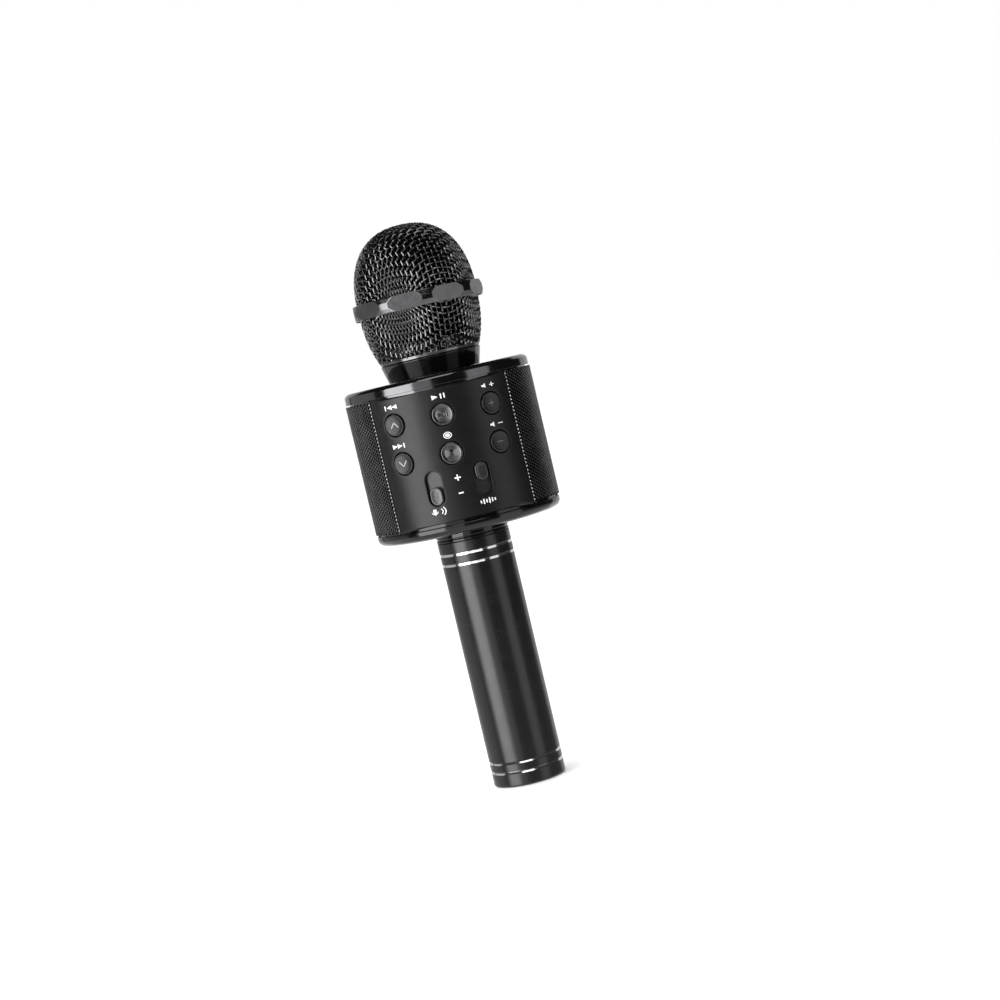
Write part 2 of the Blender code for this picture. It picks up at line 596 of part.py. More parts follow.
def build_rear():
    """Switch, ports and indicator on the rear board; local Z runs from the board to the panel."""
    base = REAR_BOARD_Y + GAP
    face = 40.2 * MM
    usb = box("usb_port", (-3.9 * MM, -1.3 * MM, base), (3.9 * MM, 1.3 * MM, face), BRIGHT_METAL)
    mouth = box("usb_mouth", (-3.5 * MM, -0.9 * MM, face - 6.0 * MM), (3.5 * MM, 0.9 * MM, face + MM))
    tongue = box("usb_tongue", (-2.6 * MM, -0.3 * MM, face - 6.5 * MM), (2.6 * MM, 0.3 * MM, face - MM))
    cut(usb, mouth)
    join(usb, tongue)
    for piece in (usb, mouth, tongue):
        face_out(piece, math.pi, PORT_Z)
        piece.location.x = -PORT_X
    jack = turned("headphone_jack", [
        (3.0 * MM, face), (3.0 * MM, 34.0 * MM), (4.4 * MM, 34.0 * MM), (4.4 * MM, base),
        (1.8 * MM, base), (1.8 * MM, face)], BRIGHT_METAL)
    face_out(jack, math.pi, PORT_Z)
    jack.location.x = PORT_X
    card = box("card_socket", (-6.5 * MM, -0.9 * MM, base), (6.5 * MM, 0.9 * MM, 39.0 * MM), BRIGHT_METAL)
    slot = box("card_slot", (-5.7 * MM, -0.5 * MM, 29.0 * MM), (5.7 * MM, 0.5 * MM, 41.0 * MM))
    cut(card, slot)
    face_out(card, math.pi, CARD_Z)
    face_out(slot, math.pi, CARD_Z)
    led = turned("status_led", [(0.0, 41.1 * MM), (0.7 * MM, 40.9 * MM), (1.1 * MM, 40.3 * MM),
                                (1.1 * MM, base), (0.0, base)], WHITE, SEGMENTS_SCREW)
    face_out(led, math.pi, LED_Z)
    build_power_switch(base)


def build_power_switch(base):
    body_top = base + 4.0 * MM
    body = box("power_switch_body", (-4.0 * MM, -5.5 * MM, base), (4.0 * MM, 5.5 * MM, body_top),
               DARK_METAL)
    stem_end = body_top - 1.4 * MM
    stem = 1.2 * MM
    reach = POWER_TRAVEL / 2.0 + stem + 0.4 * MM
    groove = box("power_groove", (-1.6 * MM, -reach, body_top - 2.4 * MM), (1.6 * MM, reach, body_top + MM))
    cut(body, groove)
    face_out(body, math.pi, POWER_Z)
    face_out(groove, math.pi, POWER_Z)
    rest = POWER_Z - POWER_TRAVEL / 2.0
    inner_wall = PANEL_RADIUS - PANEL_WALL - 0.4 * MM
    knob = box("power_switch_knob", (-1.8 * MM, -2.5 * MM, inner_wall - 0.5 * MM),
               (1.8 * MM, 2.5 * MM, 41.2 * MM), MATT_BLACK)
    plate = box("power_shutter", (-3.2 * MM, -6.6 * MM, inner_wall - 0.8 * MM),
                (3.2 * MM, 6.6 * MM, inner_wall))
    shaft = box("power_stem", (-stem, -stem, stem_end), (stem, stem, inner_wall - 0.3 * MM))
    join(knob, plate, shaft)
    for piece in (knob, plate, shaft):
        face_out(piece, math.pi, rest)


# Loudspeakers

def build_speakers():
    """Profiles are (radius, height) in millimetres; height 0 is the flange's outer face."""
    frame = [(22.5, 0.0), (22.5, -1.6), (21.3, -1.6), (13.6, -9.2), (13.6, -10.2), (7.2, -10.2),
             (7.2, -9.3), (12.6, -9.3), (20.3, -1.7), (20.3, 0.0)]
    magnet = [(0.0, -10.5), (5.5, -10.5), (5.5, -15.5), (7.0, -15.5), (7.0, -10.5), (13.0, -10.5),
              (13.0, -18.0), (0.0, -18.0)]
    cone = [(0.0, -4.2), (3.2, -4.6), (5.6, -6.0), (16.9, -0.7), (18.0, 0.1), (19.2, -0.7),
            (19.2, -1.1), (17.2, -1.3), (6.5, -7.2), (6.5, -12.0), (5.9, -12.0), (5.9, -6.8),
            (3.0, -5.3), (0.0, -4.9)]
    kinds = (("speaker_frame", frame, DARK_METAL), ("speaker_magnet", magnet, DARK_METAL),
             ("speaker_cone", cone, PAPER))
    for side, sign in (("left", -1.0), ("right", 1.0)):
        for kind, profile, finish in kinds:
            piece = turned(f"{kind}_{side}", [(r * MM, h * MM) for r, h in profile], finish)
            piece.rotation_euler.y = sign * math.pi / 2.0
            piece.location = (sign * (BAFFLE_X - GAP), 0.0, SPEAKER_Z)


# Handle

def groove_profile(z):
    """A bright cut ring: a shallow groove with sloping sides, listed downwards."""
    floor = HANDLE_RADIUS - GROOVE_DEPTH
    return [(HANDLE_RADIUS, z + GROOVE_WIDTH / 2.0), (floor, z + GROOVE_FLOOR / 2.0),
            (floor, z - GROOVE_FLOOR / 2.0), (HANDLE_RADIUS, z - GROOVE_WIDTH / 2.0)]


def build_handle():
    inner = HANDLE_RADIUS - HANDLE_WALL
    floor = HANDLE_RADIUS - GROOVE_DEPTH
    tube_top = COLLAR_LOW - GAP
    tube_low = CAP_SEAM + GAP / 2.0
    profile = [(HANDLE_RADIUS, tube_top)]
    for z in sorted(GROOVES, reverse=True)[:2]:
        profile += groove_profile(z)
    profile += [(HANDLE_RADIUS, CAP_SEAM + GROOVE_WIDTH / 2.0), (floor, tube_low), (inner, tube_low),
                (inner, tube_top)]
    turned("handle_tube", profile, DARK_METAL, SEGMENTS_HANDLE)

    collar_top = DRUM_LOW - GAP
    profile = [(SPIGOT_RADIUS, DRUM_LOW + TRIM_HEIGHT + 3.6 * MM), (SPIGOT_RADIUS, collar_top),
               (COLLAR_RADIUS, collar_top), (COLLAR_RADIUS, COLLAR_LOW + 0.3 * MM),
               (COLLAR_RADIUS - 0.3 * MM, COLLAR_LOW), (SPIGOT_RADIUS, COLLAR_LOW),
               (SPIGOT_RADIUS, SPIGOT_LOW), (10.5 * MM, SPIGOT_LOW),
               (10.5 * MM, DRUM_LOW + TRIM_HEIGHT + 3.6 * MM)]
    turned("handle_collar", profile, GLOSSY_BLACK, SEGMENTS_HANDLE)
    nut_low = DRUM_LOW + TRIM_HEIGHT + GAP
    tube("handle_nut", SPIGOT_RADIUS + 3.8 * MM, SPIGOT_RADIUS + GAP, nut_low, nut_low + 2.6 * MM,
         MATT_BLACK, SEGMENTS_HANDLE)
    build_tail_cap(inner, floor)
    build_battery()


def build_tail_cap(tube_inner, groove_floor):
    corner = 2.0 * MM
    seat = CAP_SEAM - GAP / 2.0
    spigot = tube_inner - 0.35 * MM
    inner = 12.6 * MM
    floor = 2.4 * MM
    profile = [(0.0, floor), (inner, floor), (inner, CAP_SPIGOT_TOP), (spigot, CAP_SPIGOT_TOP),
               (spigot, seat), (groove_floor, seat), (HANDLE_RADIUS, CAP_SEAM - GROOVE_WIDTH / 2.0)]
    profile += groove_profile(min(GROOVES))
    profile += arc((HANDLE_RADIUS - corner, corner), corner, 0.0, -90.0, 4)
    profile.append((0.0, 0.0))
    turned("tail_cap", profile, DARK_METAL, SEGMENTS_HANDLE)


def build_battery():
    high = BATTERY_LOW + BATTERY_LENGTH
    shoulder = high - 1.0 * MM
    profile = [(0.0, high), (2.8 * MM, high), (2.8 * MM, shoulder), (BATTERY_RADIUS - 0.5 * MM, shoulder),
               (BATTERY_RADIUS, shoulder - 0.5 * MM), (BATTERY_RADIUS, BATTERY_LOW), (0.0, BATTERY_LOW)]
    turned("battery", profile, WRAP)
    cylinder("contact_plate", 5.0 * MM, high + GAP, high + 0.8 * MM, BRASS)
    outer, inner, hole = SPIGOT_RADIUS, BATTERY_RADIUS + 0.4 * MM, 3.0 * MM
    ceiling = high + 1.1 * MM
    sleeve_low = CAP_SPIGOT_TOP + 0.5 * MM
    profile = [(outer, SLEEVE_TOP), (outer, sleeve_low), (inner, sleeve_low), (inner, ceiling),
               (hole, ceiling), (hole, SLEEVE_TOP)]
    turned("battery_sleeve", profile, WHITE)
    build_tail_spring()


def build_tail_spring():
    """Cone-shaped coil that presses the battery on to its contact."""
    turns, points_per_turn = 4, 8
    wide, narrow, wire_radius = 7.5 * MM, 4.5 * MM, 0.45 * MM
    low = 2.4 * MM + GAP + wire_radius
    high = BATTERY_LOW - GAP - wire_radius
    count = turns * points_per_turn
    points = []
    for i in range(count + 1):
        share = i / count
        angle = 2.0 * math.pi * turns * share
        radius = wide + (narrow - wide) * share
        points.append((radius * math.cos(angle), radius * math.sin(angle), low + (high - low) * share))
    wire("tail_spring", points, wire_radius, BRIGHT_METAL)


build_head()
build_capsule()
build_neck()
build_trims()
build_base_screws()
build_walls()
build_chassis()
build_buttons()
build_sliders()
build_boards()
build_rear()
build_speakers()
build_handle()
bpy.context.view_layer.update()
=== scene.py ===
import math

import bmesh
import bpy
import numpy as np
from mathutils import Matrix, Vector
from mathutils.geometry import delaunay_2d_cdt


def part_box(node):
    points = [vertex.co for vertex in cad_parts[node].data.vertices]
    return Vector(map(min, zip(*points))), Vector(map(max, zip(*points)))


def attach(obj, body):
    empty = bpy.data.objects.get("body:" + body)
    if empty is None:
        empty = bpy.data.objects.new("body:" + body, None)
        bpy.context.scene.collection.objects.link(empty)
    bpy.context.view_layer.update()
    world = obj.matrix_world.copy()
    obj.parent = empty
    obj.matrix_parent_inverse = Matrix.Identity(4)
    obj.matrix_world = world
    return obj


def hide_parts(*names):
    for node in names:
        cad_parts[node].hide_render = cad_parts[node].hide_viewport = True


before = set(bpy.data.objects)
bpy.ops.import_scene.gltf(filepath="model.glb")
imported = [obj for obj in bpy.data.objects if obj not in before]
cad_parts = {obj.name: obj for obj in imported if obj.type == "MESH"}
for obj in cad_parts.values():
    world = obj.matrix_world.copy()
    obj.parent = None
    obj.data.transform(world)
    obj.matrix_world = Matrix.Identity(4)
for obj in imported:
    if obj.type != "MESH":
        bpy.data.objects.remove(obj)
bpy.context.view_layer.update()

MM = 0.001
TAU = 2.0 * math.pi


def low(node):
    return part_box(node)[0]


def high(node):
    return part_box(node)[1]


def middle_x(node):
    return (low(node).x + high(node).x) / 2.0


def middle_z(node):
    return (low(node).z + high(node).z) / 2.0


# Sizes and places read from the CAD parts in model.glb
DRUM_RADIUS = high("speaker_grille_right").x
PANEL_RADIUS = -low("front_panel").y
PANEL_LOW, PANEL_HIGH = low("front_panel").z, high("front_panel").z
PANEL_HALF_ANGLE = math.asin(high("front_panel").x / PANEL_RADIUS)
TRIM_RADIUS = high("top_trim").x
DRUM_LOW, DRUM_HIGH = low("bottom_trim").z, high("top_trim").z
NECK_TOP_RADIUS = high("neck_collar").x
NECK_TOP = low("grille_rim").z - 0.1 * MM
HANDLE_RADIUS = high("handle_tube").x
COLLAR_LOW = high("handle_tube").z + 0.3 * MM
CAP_SEAM = low("handle_tube").z - 0.15 * MM
RING_LOW, RING_HIGH = low("anti_roll_ring").z, high("anti_roll_ring").z
DOME_TOP = high("grille_dome").z
RIM_LOW, RIM_TOP = low("grille_rim").z, low("grille_basket").z - 0.3 * MM

# Shapes finer than the CAD solids
DOME_RADIUS, DOME_CENTRE, DOME_POWER = 26.4 * MM, 213.8 * MM, 2.4
BASKET_RADIUS, BASKET_DEPTH = 26.15 * MM, 37.7 * MM
WIRE_RADIUS, WIRE_WAVE, WIRE_PITCH = 0.43 * MM, 0.36 * MM, 2.45 * MM
WIRE_TURN = math.radians(28.0)
RING_CORNER, RING_EDGE, RING_FLAT, RING_BORE = 28.85 * MM, 28.2 * MM, 27.8 * MM, 25.0 * MM
RING_FLATS, RING_TURN = 9, math.radians(-10.0)
BUTTON_AZIMUTH = math.radians(30.6)
BUTTON_RADIUS, BUTTON_HOLE, BUTTON_TOP = 4.55 * MM, 5.0 * MM, 41.2 * MM
SLIDER_AZIMUTH = math.radians(14.6)
SLOT_WIDTH, SLOT_LENGTH = 7.0 * MM, 14.8 * MM
KNOB_WIDTH, KNOB_LENGTH = 5.4 * MM, 7.6 * MM
HOLE_PITCH, HOLE_RADIUS = 1.6 * MM, 0.56 * MM
GROOVE_WIDTH, GROOVE_DEPTH = 1.2 * MM, 0.62 * MM
LEDGE_FOOT = 0.36 * MM
UPPER_DEPTH = 0.21 * MM
UPPER_GROOVES = (103.9 * MM, 99.4 * MM)
LOWER_GROOVE = 6.4 * MM
PANEL_WALL, PANEL_EDGE = 1.9 * MM, 0.3 * MM
HOLE_SIDES = 12
# Edges that bend more than this many degrees are shaded as creases
CREASE, TURNED_CREASE, FLAT_SHADED = 25.0, 6.258, 0.0


# Materials

def add_node(tree, kind, **values):
    node = tree.nodes.new(kind)
    for key, value in values.items():
        setattr(node, key, value)
    return node


def noise(tree, scale_mm, detail=3.0, stretch=(1.0, 1.0, 1.0)):
    """Noise whose features are about scale_mm across, in the piece's own coordinates."""
    coordinates = add_node(tree, "ShaderNodeTexCoord")
    mapping = add_node(tree, "ShaderNodeMapping")
    mapping.inputs["Scale"].default_value = [1.0 / (scale_mm * MM) * s for s in stretch]
    texture = add_node(tree, "ShaderNodeTexNoise")
    texture.inputs["Scale"].default_value = 1.0
    texture.inputs["Detail"].default_value = detail
    tree.links.new(coordinates.outputs["Object"], mapping.inputs["Vector"])
    tree.links.new(mapping.outputs["Vector"], texture.inputs["Vector"])
    return texture.outputs["Fac"]


def spread(tree, source, start, end):
    """Map a 0..1 value to a range."""
    node = add_node(tree, "ShaderNodeMapRange")
    node.inputs["From Min"].default_value = 0.3
    node.inputs["From Max"].default_value = 0.7
    node.inputs["To Min"].default_value = start
    node.inputs["To Max"].default_value = end
    tree.links.new(source, node.inputs["Value"])
    return node.outputs["Result"]


def look(name, colour, roughness, metallic=0.0, tone=0.25, tone_mm=9.0, rough_span=0.05,
         grain_mm=0.3, grain=0.05, stretch=(1.0, 1.0, 1.0), coat=0.0, specular=0.5):
    """A Principled surface: colour and roughness drift slowly, and its grain is a fine bump."""
    material = bpy.data.materials.new(name)
    material.use_nodes = True
    tree = material.node_tree
    shader = tree.nodes["Principled BSDF"]
    shader.inputs["Metallic"].default_value = metallic
    shader.inputs["Specular IOR Level"].default_value = specular
    shader.inputs["Coat Weight"].default_value = coat
    shader.inputs["Coat Roughness"].default_value = 0.05
    drift = noise(tree, tone_mm)
    mix = add_node(tree, "ShaderNodeMix", data_type="RGBA")
    tree.links.new(spread(tree, drift, 0.0, 1.0), mix.inputs["Factor"])
    mix.inputs["A"].default_value = (*[c * (1.0 - tone) for c in colour], 1.0)
    mix.inputs["B"].default_value = (*[min(1.0, c * (1.0 + tone)) for c in colour], 1.0)
    tree.links.new(mix.outputs["Result"], shader.inputs["Base Color"])
    fine = noise(tree, grain_mm, 2.0, stretch)
    rough = spread(tree, noise(tree, tone_mm * 0.4), roughness - rough_span, roughness + rough_span)
    tree.links.new(rough, shader.inputs["Roughness"])
    bump = add_node(tree, "ShaderNodeBump")
    bump.inputs["Strength"].default_value = grain
    bump.inputs["Distance"].default_value = grain_mm * MM
    tree.links.new(fine, bump.inputs["Height"])
    tree.links.new(bump.outputs["Normal"], shader.inputs["Normal"])
    return material


def foam_look(name, colour, cell_mm):
    """Open-cell foam: round pores from a Voronoi pattern."""
    material = look(name, colour, 0.95, specular=0.05)
    tree = material.node_tree
    coordinates = add_node(tree, "ShaderNodeTexCoord")
    cells = add_node(tree, "ShaderNodeTexVoronoi")
    cells.inputs["Scale"].default_value = 1.0 / (cell_mm * MM)
    tree.links.new(coordinates.outputs["Object"], cells.inputs["Vector"])
    bump = add_node(tree, "ShaderNodeBump")
    bump.inputs["Strength"].default_value = 0.9
    bump.inputs["Distance"].default_value = cell_mm * 0.5 * MM
    tree.links.new(cells.outputs["Distance"], bump.inputs["Height"])
    tree.links.new(bump.outputs["Normal"], tree.nodes["Principled BSDF"].inputs["Normal"])
    return material


LOOKS = {
    "wire": look("wire_black", (0.17, 0.17, 0.175), 0.16, 1.0, 0.2, 6.0, 0.04, 0.4, 0.10),
    "ring": look("ring_metal", (0.15, 0.15, 0.155), 0.16, 1.0, 0.12, 6.0, 0.04, 0.25, 0.05,
                 (1.0, 1.0, 8.0)),
    "rim": look("rim_metal", (0.15, 0.15, 0.155), 0.15, 1.0, 0.12, 5.0, 0.04, 0.2, 0.04,
                (1.0, 1.0, 8.0)),
    "trim": look("trim_metal", (0.14, 0.14, 0.145), 0.12, 1.0, 0.10, 8.0, 0.03, 0.8, 0.012),
    "gloss": look("gloss_black", (0.0022, 0.0022, 0.0025), 0.11, tone=0.3, rough_span=0.03,
                  grain_mm=2.5, grain=0.015, specular=0.6),
    "panel": look("panel_black", (0.0042, 0.0042, 0.0045), 0.32, tone=0.12, rough_span=0.03,
                  grain_mm=0.12, grain=0.08, specular=0.42),
    "perforated": look("speaker_mesh", (0.10, 0.10, 0.105), 0.30, 1.0, 0.3, 6.0, 0.05, 0.3, 0.12),
    "cloth": look("speaker_cloth", (0.002, 0.002, 0.002), 0.9, tone=0.3, grain_mm=0.4, grain=0.3,
                  specular=0.1),
    "bead": look("mesh_edge", (0.70, 0.70, 0.71), 0.18, 1.0, grain_mm=0.2),
    "button": look("button_dark", (0.006, 0.006, 0.0065), 0.28, 0.0, 0.15, 3.0, 0.05, 0.15, 0.05),
    "button_spun": look("button_spun", (0.12, 0.12, 0.123), 0.20, 1.0, 0.15, 3.0, 0.05, 0.12,
                        0.04),
    "knob": look("knob_grey", (0.014, 0.014, 0.015), 0.25, 0.0, 0.1, 3.0, 0.04, 0.12, 0.08,
                 specular=1.0),
    "shutter": look("shutter_grey", (0.010, 0.010, 0.011), 0.30, 0.0, 0.1, 3.0, 0.04, 0.12, 0.08,
                    specular=0.8),
    "print": look("print_white", (0.78, 0.78, 0.78), 0.5, tone=0.08, tone_mm=0.6, grain_mm=0.1,
                  grain=0.05),
    "engraved": look("engraved_grey", (0.20, 0.20, 0.205), 0.22, 1.0, 0.1, 0.6, grain_mm=0.1),
    "engraved_dark": look("engraved_dark", (0.012, 0.012, 0.012), 0.5, tone=0.2, tone_mm=0.6),
    "anodised": look("anodised_black", (0.0045, 0.0045, 0.0048), 0.25, 0.0, 0.15, 12.0, 0.03,
                     0.16, 0.06, specular=0.65),
    "cut": look("bright_cut", (0.90, 0.90, 0.91), 0.13, 1.0, 0.05, 4.0, 0.04, 0.10, 0.006,
                (1.0, 1.0, 6.0)),
    "foam": foam_look("foam", (0.0015, 0.0015, 0.0015), 0.7),
    "rubber": look("rubber", (0.02, 0.02, 0.02), 0.7, tone=0.2, grain_mm=0.4, grain=0.15),
    "plastic": look("inner_plastic", (0.025, 0.025, 0.026), 0.45, grain_mm=0.25, grain=0.12),
    "sleeve": look("sleeve_plastic", (0.55, 0.55, 0.53), 0.45, tone=0.06, grain_mm=0.3,
                   grain=0.08),
    "nickel": look("nickel", (0.60, 0.59, 0.57), 0.25, 1.0, 0.08, 3.0, 0.05, 0.2, 0.05),
    "black_steel": look("black_steel", (0.06, 0.06, 0.062), 0.35, 1.0, 0.2, 3.0, 0.06, 0.2, 0.08),
    "magnet": look("magnet", (0.09, 0.09, 0.09), 0.6, 0.3, 0.2, 3.0, 0.05, 0.4, 0.2),
    "paper": look("cone_paper", (0.03, 0.03, 0.03), 0.85, tone=0.3, tone_mm=2.0, grain_mm=0.5,
                  grain=0.35),
    "board": look("board_green", (0.010, 0.075, 0.030), 0.35, tone=0.2, tone_mm=2.5, grain_mm=0.5,
                  grain=0.1, coat=0.3),
    "wrap": look("battery_wrap", (0.03, 0.10, 0.30), 0.28, tone=0.1, grain_mm=1.5, grain=0.06,
                 coat=0.3),
    "brass": look("brass", (0.75, 0.55, 0.25), 0.25, 1.0, 0.1, 2.0, 0.05, 0.2, 0.05),
    "lens": look("lens", (0.75, 0.78, 0.80), 0.12, tone=0.04, grain_mm=0.5, grain=0.03, coat=1.0),
    "port_dark": look("port_dark", (0.008, 0.008, 0.008), 0.6, tone=0.2, grain_mm=0.2),
    "floor": look("floor_paper", (0.90, 0.90, 0.90), 0.8, tone=0.01, tone_mm=60.0, grain_mm=2.0,
                  grain=0.02),
}


# Mesh helpers

def finish_mesh(mesh, crease=CREASE):
    mesh.shade_smooth()
    mesh.set_sharp_from_angle(angle=math.radians(crease))


def link_new(name, data):
    obj = bpy.data.objects.new(name, data)
    bpy.context.scene.collection.objects.link(obj)
    return obj


def mesh_of(bm, name):
    """Turn a working mesh into a finished one and let it go."""
    mesh = bpy.data.meshes.new(name)
    bm.to_mesh(mesh)
    bm.free()
    return mesh


def add_piece(name, mesh, looks, body, stands_for=(), weighted=True, crease=CREASE):
    """Show a mesh as a piece of the microphone that rides on a body and may stand for CAD nodes."""
    for key in looks:
        mesh.materials.append(LOOKS[key])
    finish_mesh(mesh, crease)
    obj = link_new(name, mesh)
    if weighted:
        obj.modifiers.new("Normals", "WEIGHTED_NORMAL").keep_sharp = True
    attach(obj, body)
    if stands_for:
        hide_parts(*stands_for)
    return obj


def mesh_from(name, vertices, faces, place=None):
    mesh = bpy.data.meshes.new(name)
    mesh.from_pydata([tuple(v) for v in vertices], [], [tuple(f) for f in faces])
    if place is not None:
        mesh.transform(place)
    bm = bmesh.new()
    bm.from_mesh(mesh)
    bmesh.ops.recalc_face_normals(bm, faces=bm.faces)
    bm.to_mesh(mesh)
    bm.free()
    return mesh


def face_out(azimuth, z=0.0, x=0.0):
    """Local Z points away from the drum's axis, local Y up; a local height is a radius."""
    return Matrix.Translation((x, 0.0, z)) @ Matrix.Rotation(azimuth, 4, "Z") @ Matrix.Rotation(
        math.pi / 2.0, 4, "X")


def rounded(outline, closed, steps=4):
    """Turn (radius, height, rounding) corners into short curves."""
    points = []
    count = len(outline)
    for i, corner in enumerate(outline):
        here = Vector(corner[:2])
        size = corner[2] if len(corner) > 2 else 0.0
        if size <= 0.0 or (not closed and i in (0, count - 1)):
            points.append(here)
            continue
        before = Vector(outline[i - 1][:2]) - here
        after = Vector(outline[(i + 1) % count][:2]) - here
        start = here + before.normalized() * min(size, before.length * 0.45)
        end = here + after.normalized() * min(size, after.length * 0.45)
        for k in range(steps + 1):
            t = k / steps
            points.append(start * (1 - t) ** 2 + here * 2 * t * (1 - t) + end * t * t)
    return points


def lathe(name, outline, looks, body, stands_for=(), segments=160, place=None,
          bright=(), steps=4):
    """Turn an outline, listed down its outer side. bright gives (low, high) bands in look two.

    An outline that starts on the axis ends there too, and its facets are shaded flat.
    """
    closed = outline[0][0] > 0.0
    points = rounded(outline, closed, steps)
    vertices, rings = [], []
    for radius, height in points:
        size = segments if radius > 1e-7 else 1
        rings.append((len(vertices), size))
        for j in range(size):
            turn = TAU * j / segments
            vertices.append((radius * math.cos(turn), radius * math.sin(turn), height))
    faces, kinds = [], []
    for i in range(len(points) if closed else len(points) - 1):
        k = (i + 1) % len(points)
        (a, size_a), (b, size_b) = rings[i], rings[k]
        middle = (points[i][1] + points[k][1]) / 2.0
        kind = 1 if any(start < middle < end for start, end in bright) else 0
        for j in range(segments):
            n = (j + 1) % segments
            face = [a + j % size_a, b + j % size_b, b + n % size_b, a + n % size_a]
            faces.append(list(dict.fromkeys(face)))
            kinds.append(kind)
    mesh = mesh_from(name, vertices, faces, place)
    mesh.polygons.foreach_set("material_index", kinds)
    return add_piece(name, mesh, looks, body, stands_for,
                     crease=TURNED_CREASE if closed else FLAT_SHADED)


def rounded_rect(x, y, half_x, half_y, corner, grow, steps=10):
    """Points of a round-cornered rectangle; a circle and a slot are special cases of it."""
    radius = corner + grow
    points = []
    for quarter, (sx, sy) in enumerate(((1, 1), (-1, 1), (-1, -1), (1, -1))):
        for k in range(steps + 1):
            angle = (quarter + k / steps) * math.pi / 2.0
            points.append((x + sx * (half_x - corner) + radius * math.cos(angle),
                           y + sy * (half_y - corner) + radius * math.sin(angle)))
    return points


def bend(point, azimuth, radius):
    """Wrap a flat point (arc length, height, depth below the surface) round the drum."""
    angle = azimuth + point[0] / radius
    distance = radius - point[2]
    return (math.sin(angle) * distance, -math.cos(angle) * distance, point[1])


def fill_flat(bm, loops, shapes, depth):
    """Fill between an outer loop and its holes with small triangles that bend smoothly."""
    outer = shapes[0]
    points, edges = [], []
    for loop in loops:
        start = len(points)
        points += [Vector((v.co.x, v.co.y)) / MM for v in loop]
        edges += [(start + j, start + (j + 1) % len(loop)) for j in range(len(loop))]
    columns = int(outer[2] / (0.6 * MM))
    rows = int(outer[3] / (1.0 * MM))
    for i in range(-columns, columns + 1):
        for j in range(-rows, rows + 1):
            x, y = outer[0] + i * outer[2] / columns, outer[1] + j * outer[3] / rows
            well_inside = outside(x, y, outer) < -1.0 * MM
            if well_inside and all(outside(x, y, hole) > 0.5 * MM for hole in shapes[1:]):
                points.append(Vector((x, y)) / MM)
    flat, _, triangles, _, _, _ = delaunay_2d_cdt(points, edges, [], 0, 1e-5)
    made = [bm.verts.new((p.x * MM, p.y * MM, depth)) for p in flat]
    for corners in triangles:
        middle = sum((flat[k] for k in corners), Vector((0.0, 0.0))) / len(corners) * MM
        if outside(middle.x, middle.y, outer) > 0.0:
            continue
        if all(outside(middle.x, middle.y, shape) > 0.0 for shape in shapes[1:]):
            bm.faces.new([made[k] for k in corners])


def outside(x, y, shape):
    """Distance outside a rounded rectangle, negative inside it."""
    across = abs(x - shape[0]) - (shape[2] - shape[4])
    along = abs(y - shape[1]) - (shape[3] - shape[4])
    return math.hypot(max(across, 0.0), max(along, 0.0)) + min(max(across, along), 0.0) - shape[4]


def grown(shape, amount):
    x, y, half_x, half_y, corner = shape
    return (x, y, half_x + amount, half_y + amount, corner + amount)


def bent_plate(name, outer, holes, azimuth, radius, wall, edge, looks, body, stands_for=()):
    """A plate drawn flat as rounded rectangles, with rounded edges, wrapped round the drum."""
    levels = []
    for k in range(5):
        angle = k / 4 * math.pi / 2.0
        levels.append((edge * (1.0 - math.sin(angle)), edge * (1.0 - math.cos(angle))))
    levels.append((0.0, wall))
    bm = bmesh.new()
    front, back = [], []
    sides = [(outer, -1.0)] + [(hole, 1.0) for hole in holes]
    for shape, side in sides:
        rings = []
        for inset, depth in levels:
            loop = rounded_rect(*shape, side * inset)
            rings.append([bm.verts.new((x, y, depth)) for x, y in loop])
        for a, b in zip(rings, rings[1:]):
            for j in range(len(a)):
                n = (j + 1) % len(a)
                bm.faces.new((a[j], b[j], b[n], a[n]))
        front.append(rings[0])
        back.append(rings[-1])
    fill_flat(bm, front, [grown(shape, side * edge) for shape, side in sides], 0.0)
    fill_flat(bm, back, [shape for shape, _ in sides], wall)
    bmesh.ops.remove_doubles(bm, verts=bm.verts, dist=0.002 * MM)
    for vertex in bm.verts:
        vertex.co = bend(vertex.co, azimuth, radius)
    bmesh.ops.recalc_face_normals(bm, faces=bm.faces)
    return add_piece(name, mesh_of(bm, name), looks, body, stands_for, weighted=False)


def raised(name, polygons, wrap, look_key, body, height=0.05 * MM, sink=0.05 * MM):
    """Thin raised marks: flat polygons given a thickness and placed by the wrap function."""
    vertices, faces = [], []
    for polygon in polygons:
        start, count = len(vertices), len(polygon)
        for level in (-height, sink):
            vertices += [wrap((x * MM, y * MM, level)) for x, y in polygon]
        faces.append(tuple(range(start, start + count)))
        faces.append(tuple(range(start + 2 * count - 1, start + count - 1, -1)))
        for j in range(count):
            n = (j + 1) % count
            faces.append((start + j, start + count + j, start + count + n, start + n))
    return add_piece(name, mesh_from(name, vertices, faces), [look_key], body, weighted=False)


# Woven wire head

class Shell:
    """Superellipse turned about Z: widest at centre, with its pole above or below."""

    def __init__(self, radius, centre, reach, power, way):
        self.radius, self.centre, self.reach = radius, centre, reach
        self.power, self.way = power, way

    def value(self, p):
        across = math.hypot(p[0], p[1]) / self.radius
        along = abs(p[2] - self.centre) / self.reach
        return across ** self.power + along ** self.power - 1.0

    def gradient(self, p):
        flat = max(math.hypot(p[0], p[1]), 1e-9)
        across = self.power * (flat / self.radius) ** (self.power - 1.0) / self.radius
        rise = p[2] - self.centre
        along = self.power * (abs(rise) / self.reach) ** (self.power - 1.0) / self.reach
        return np.array([across * p[0] / flat, across * p[1] / flat, math.copysign(along, rise)])

    def normal(self, p):
        gradient = self.gradient(p)
        return gradient / np.linalg.norm(gradient)

    def pole(self):
        return np.array([0.0, 0.0, self.centre + self.way * self.reach])


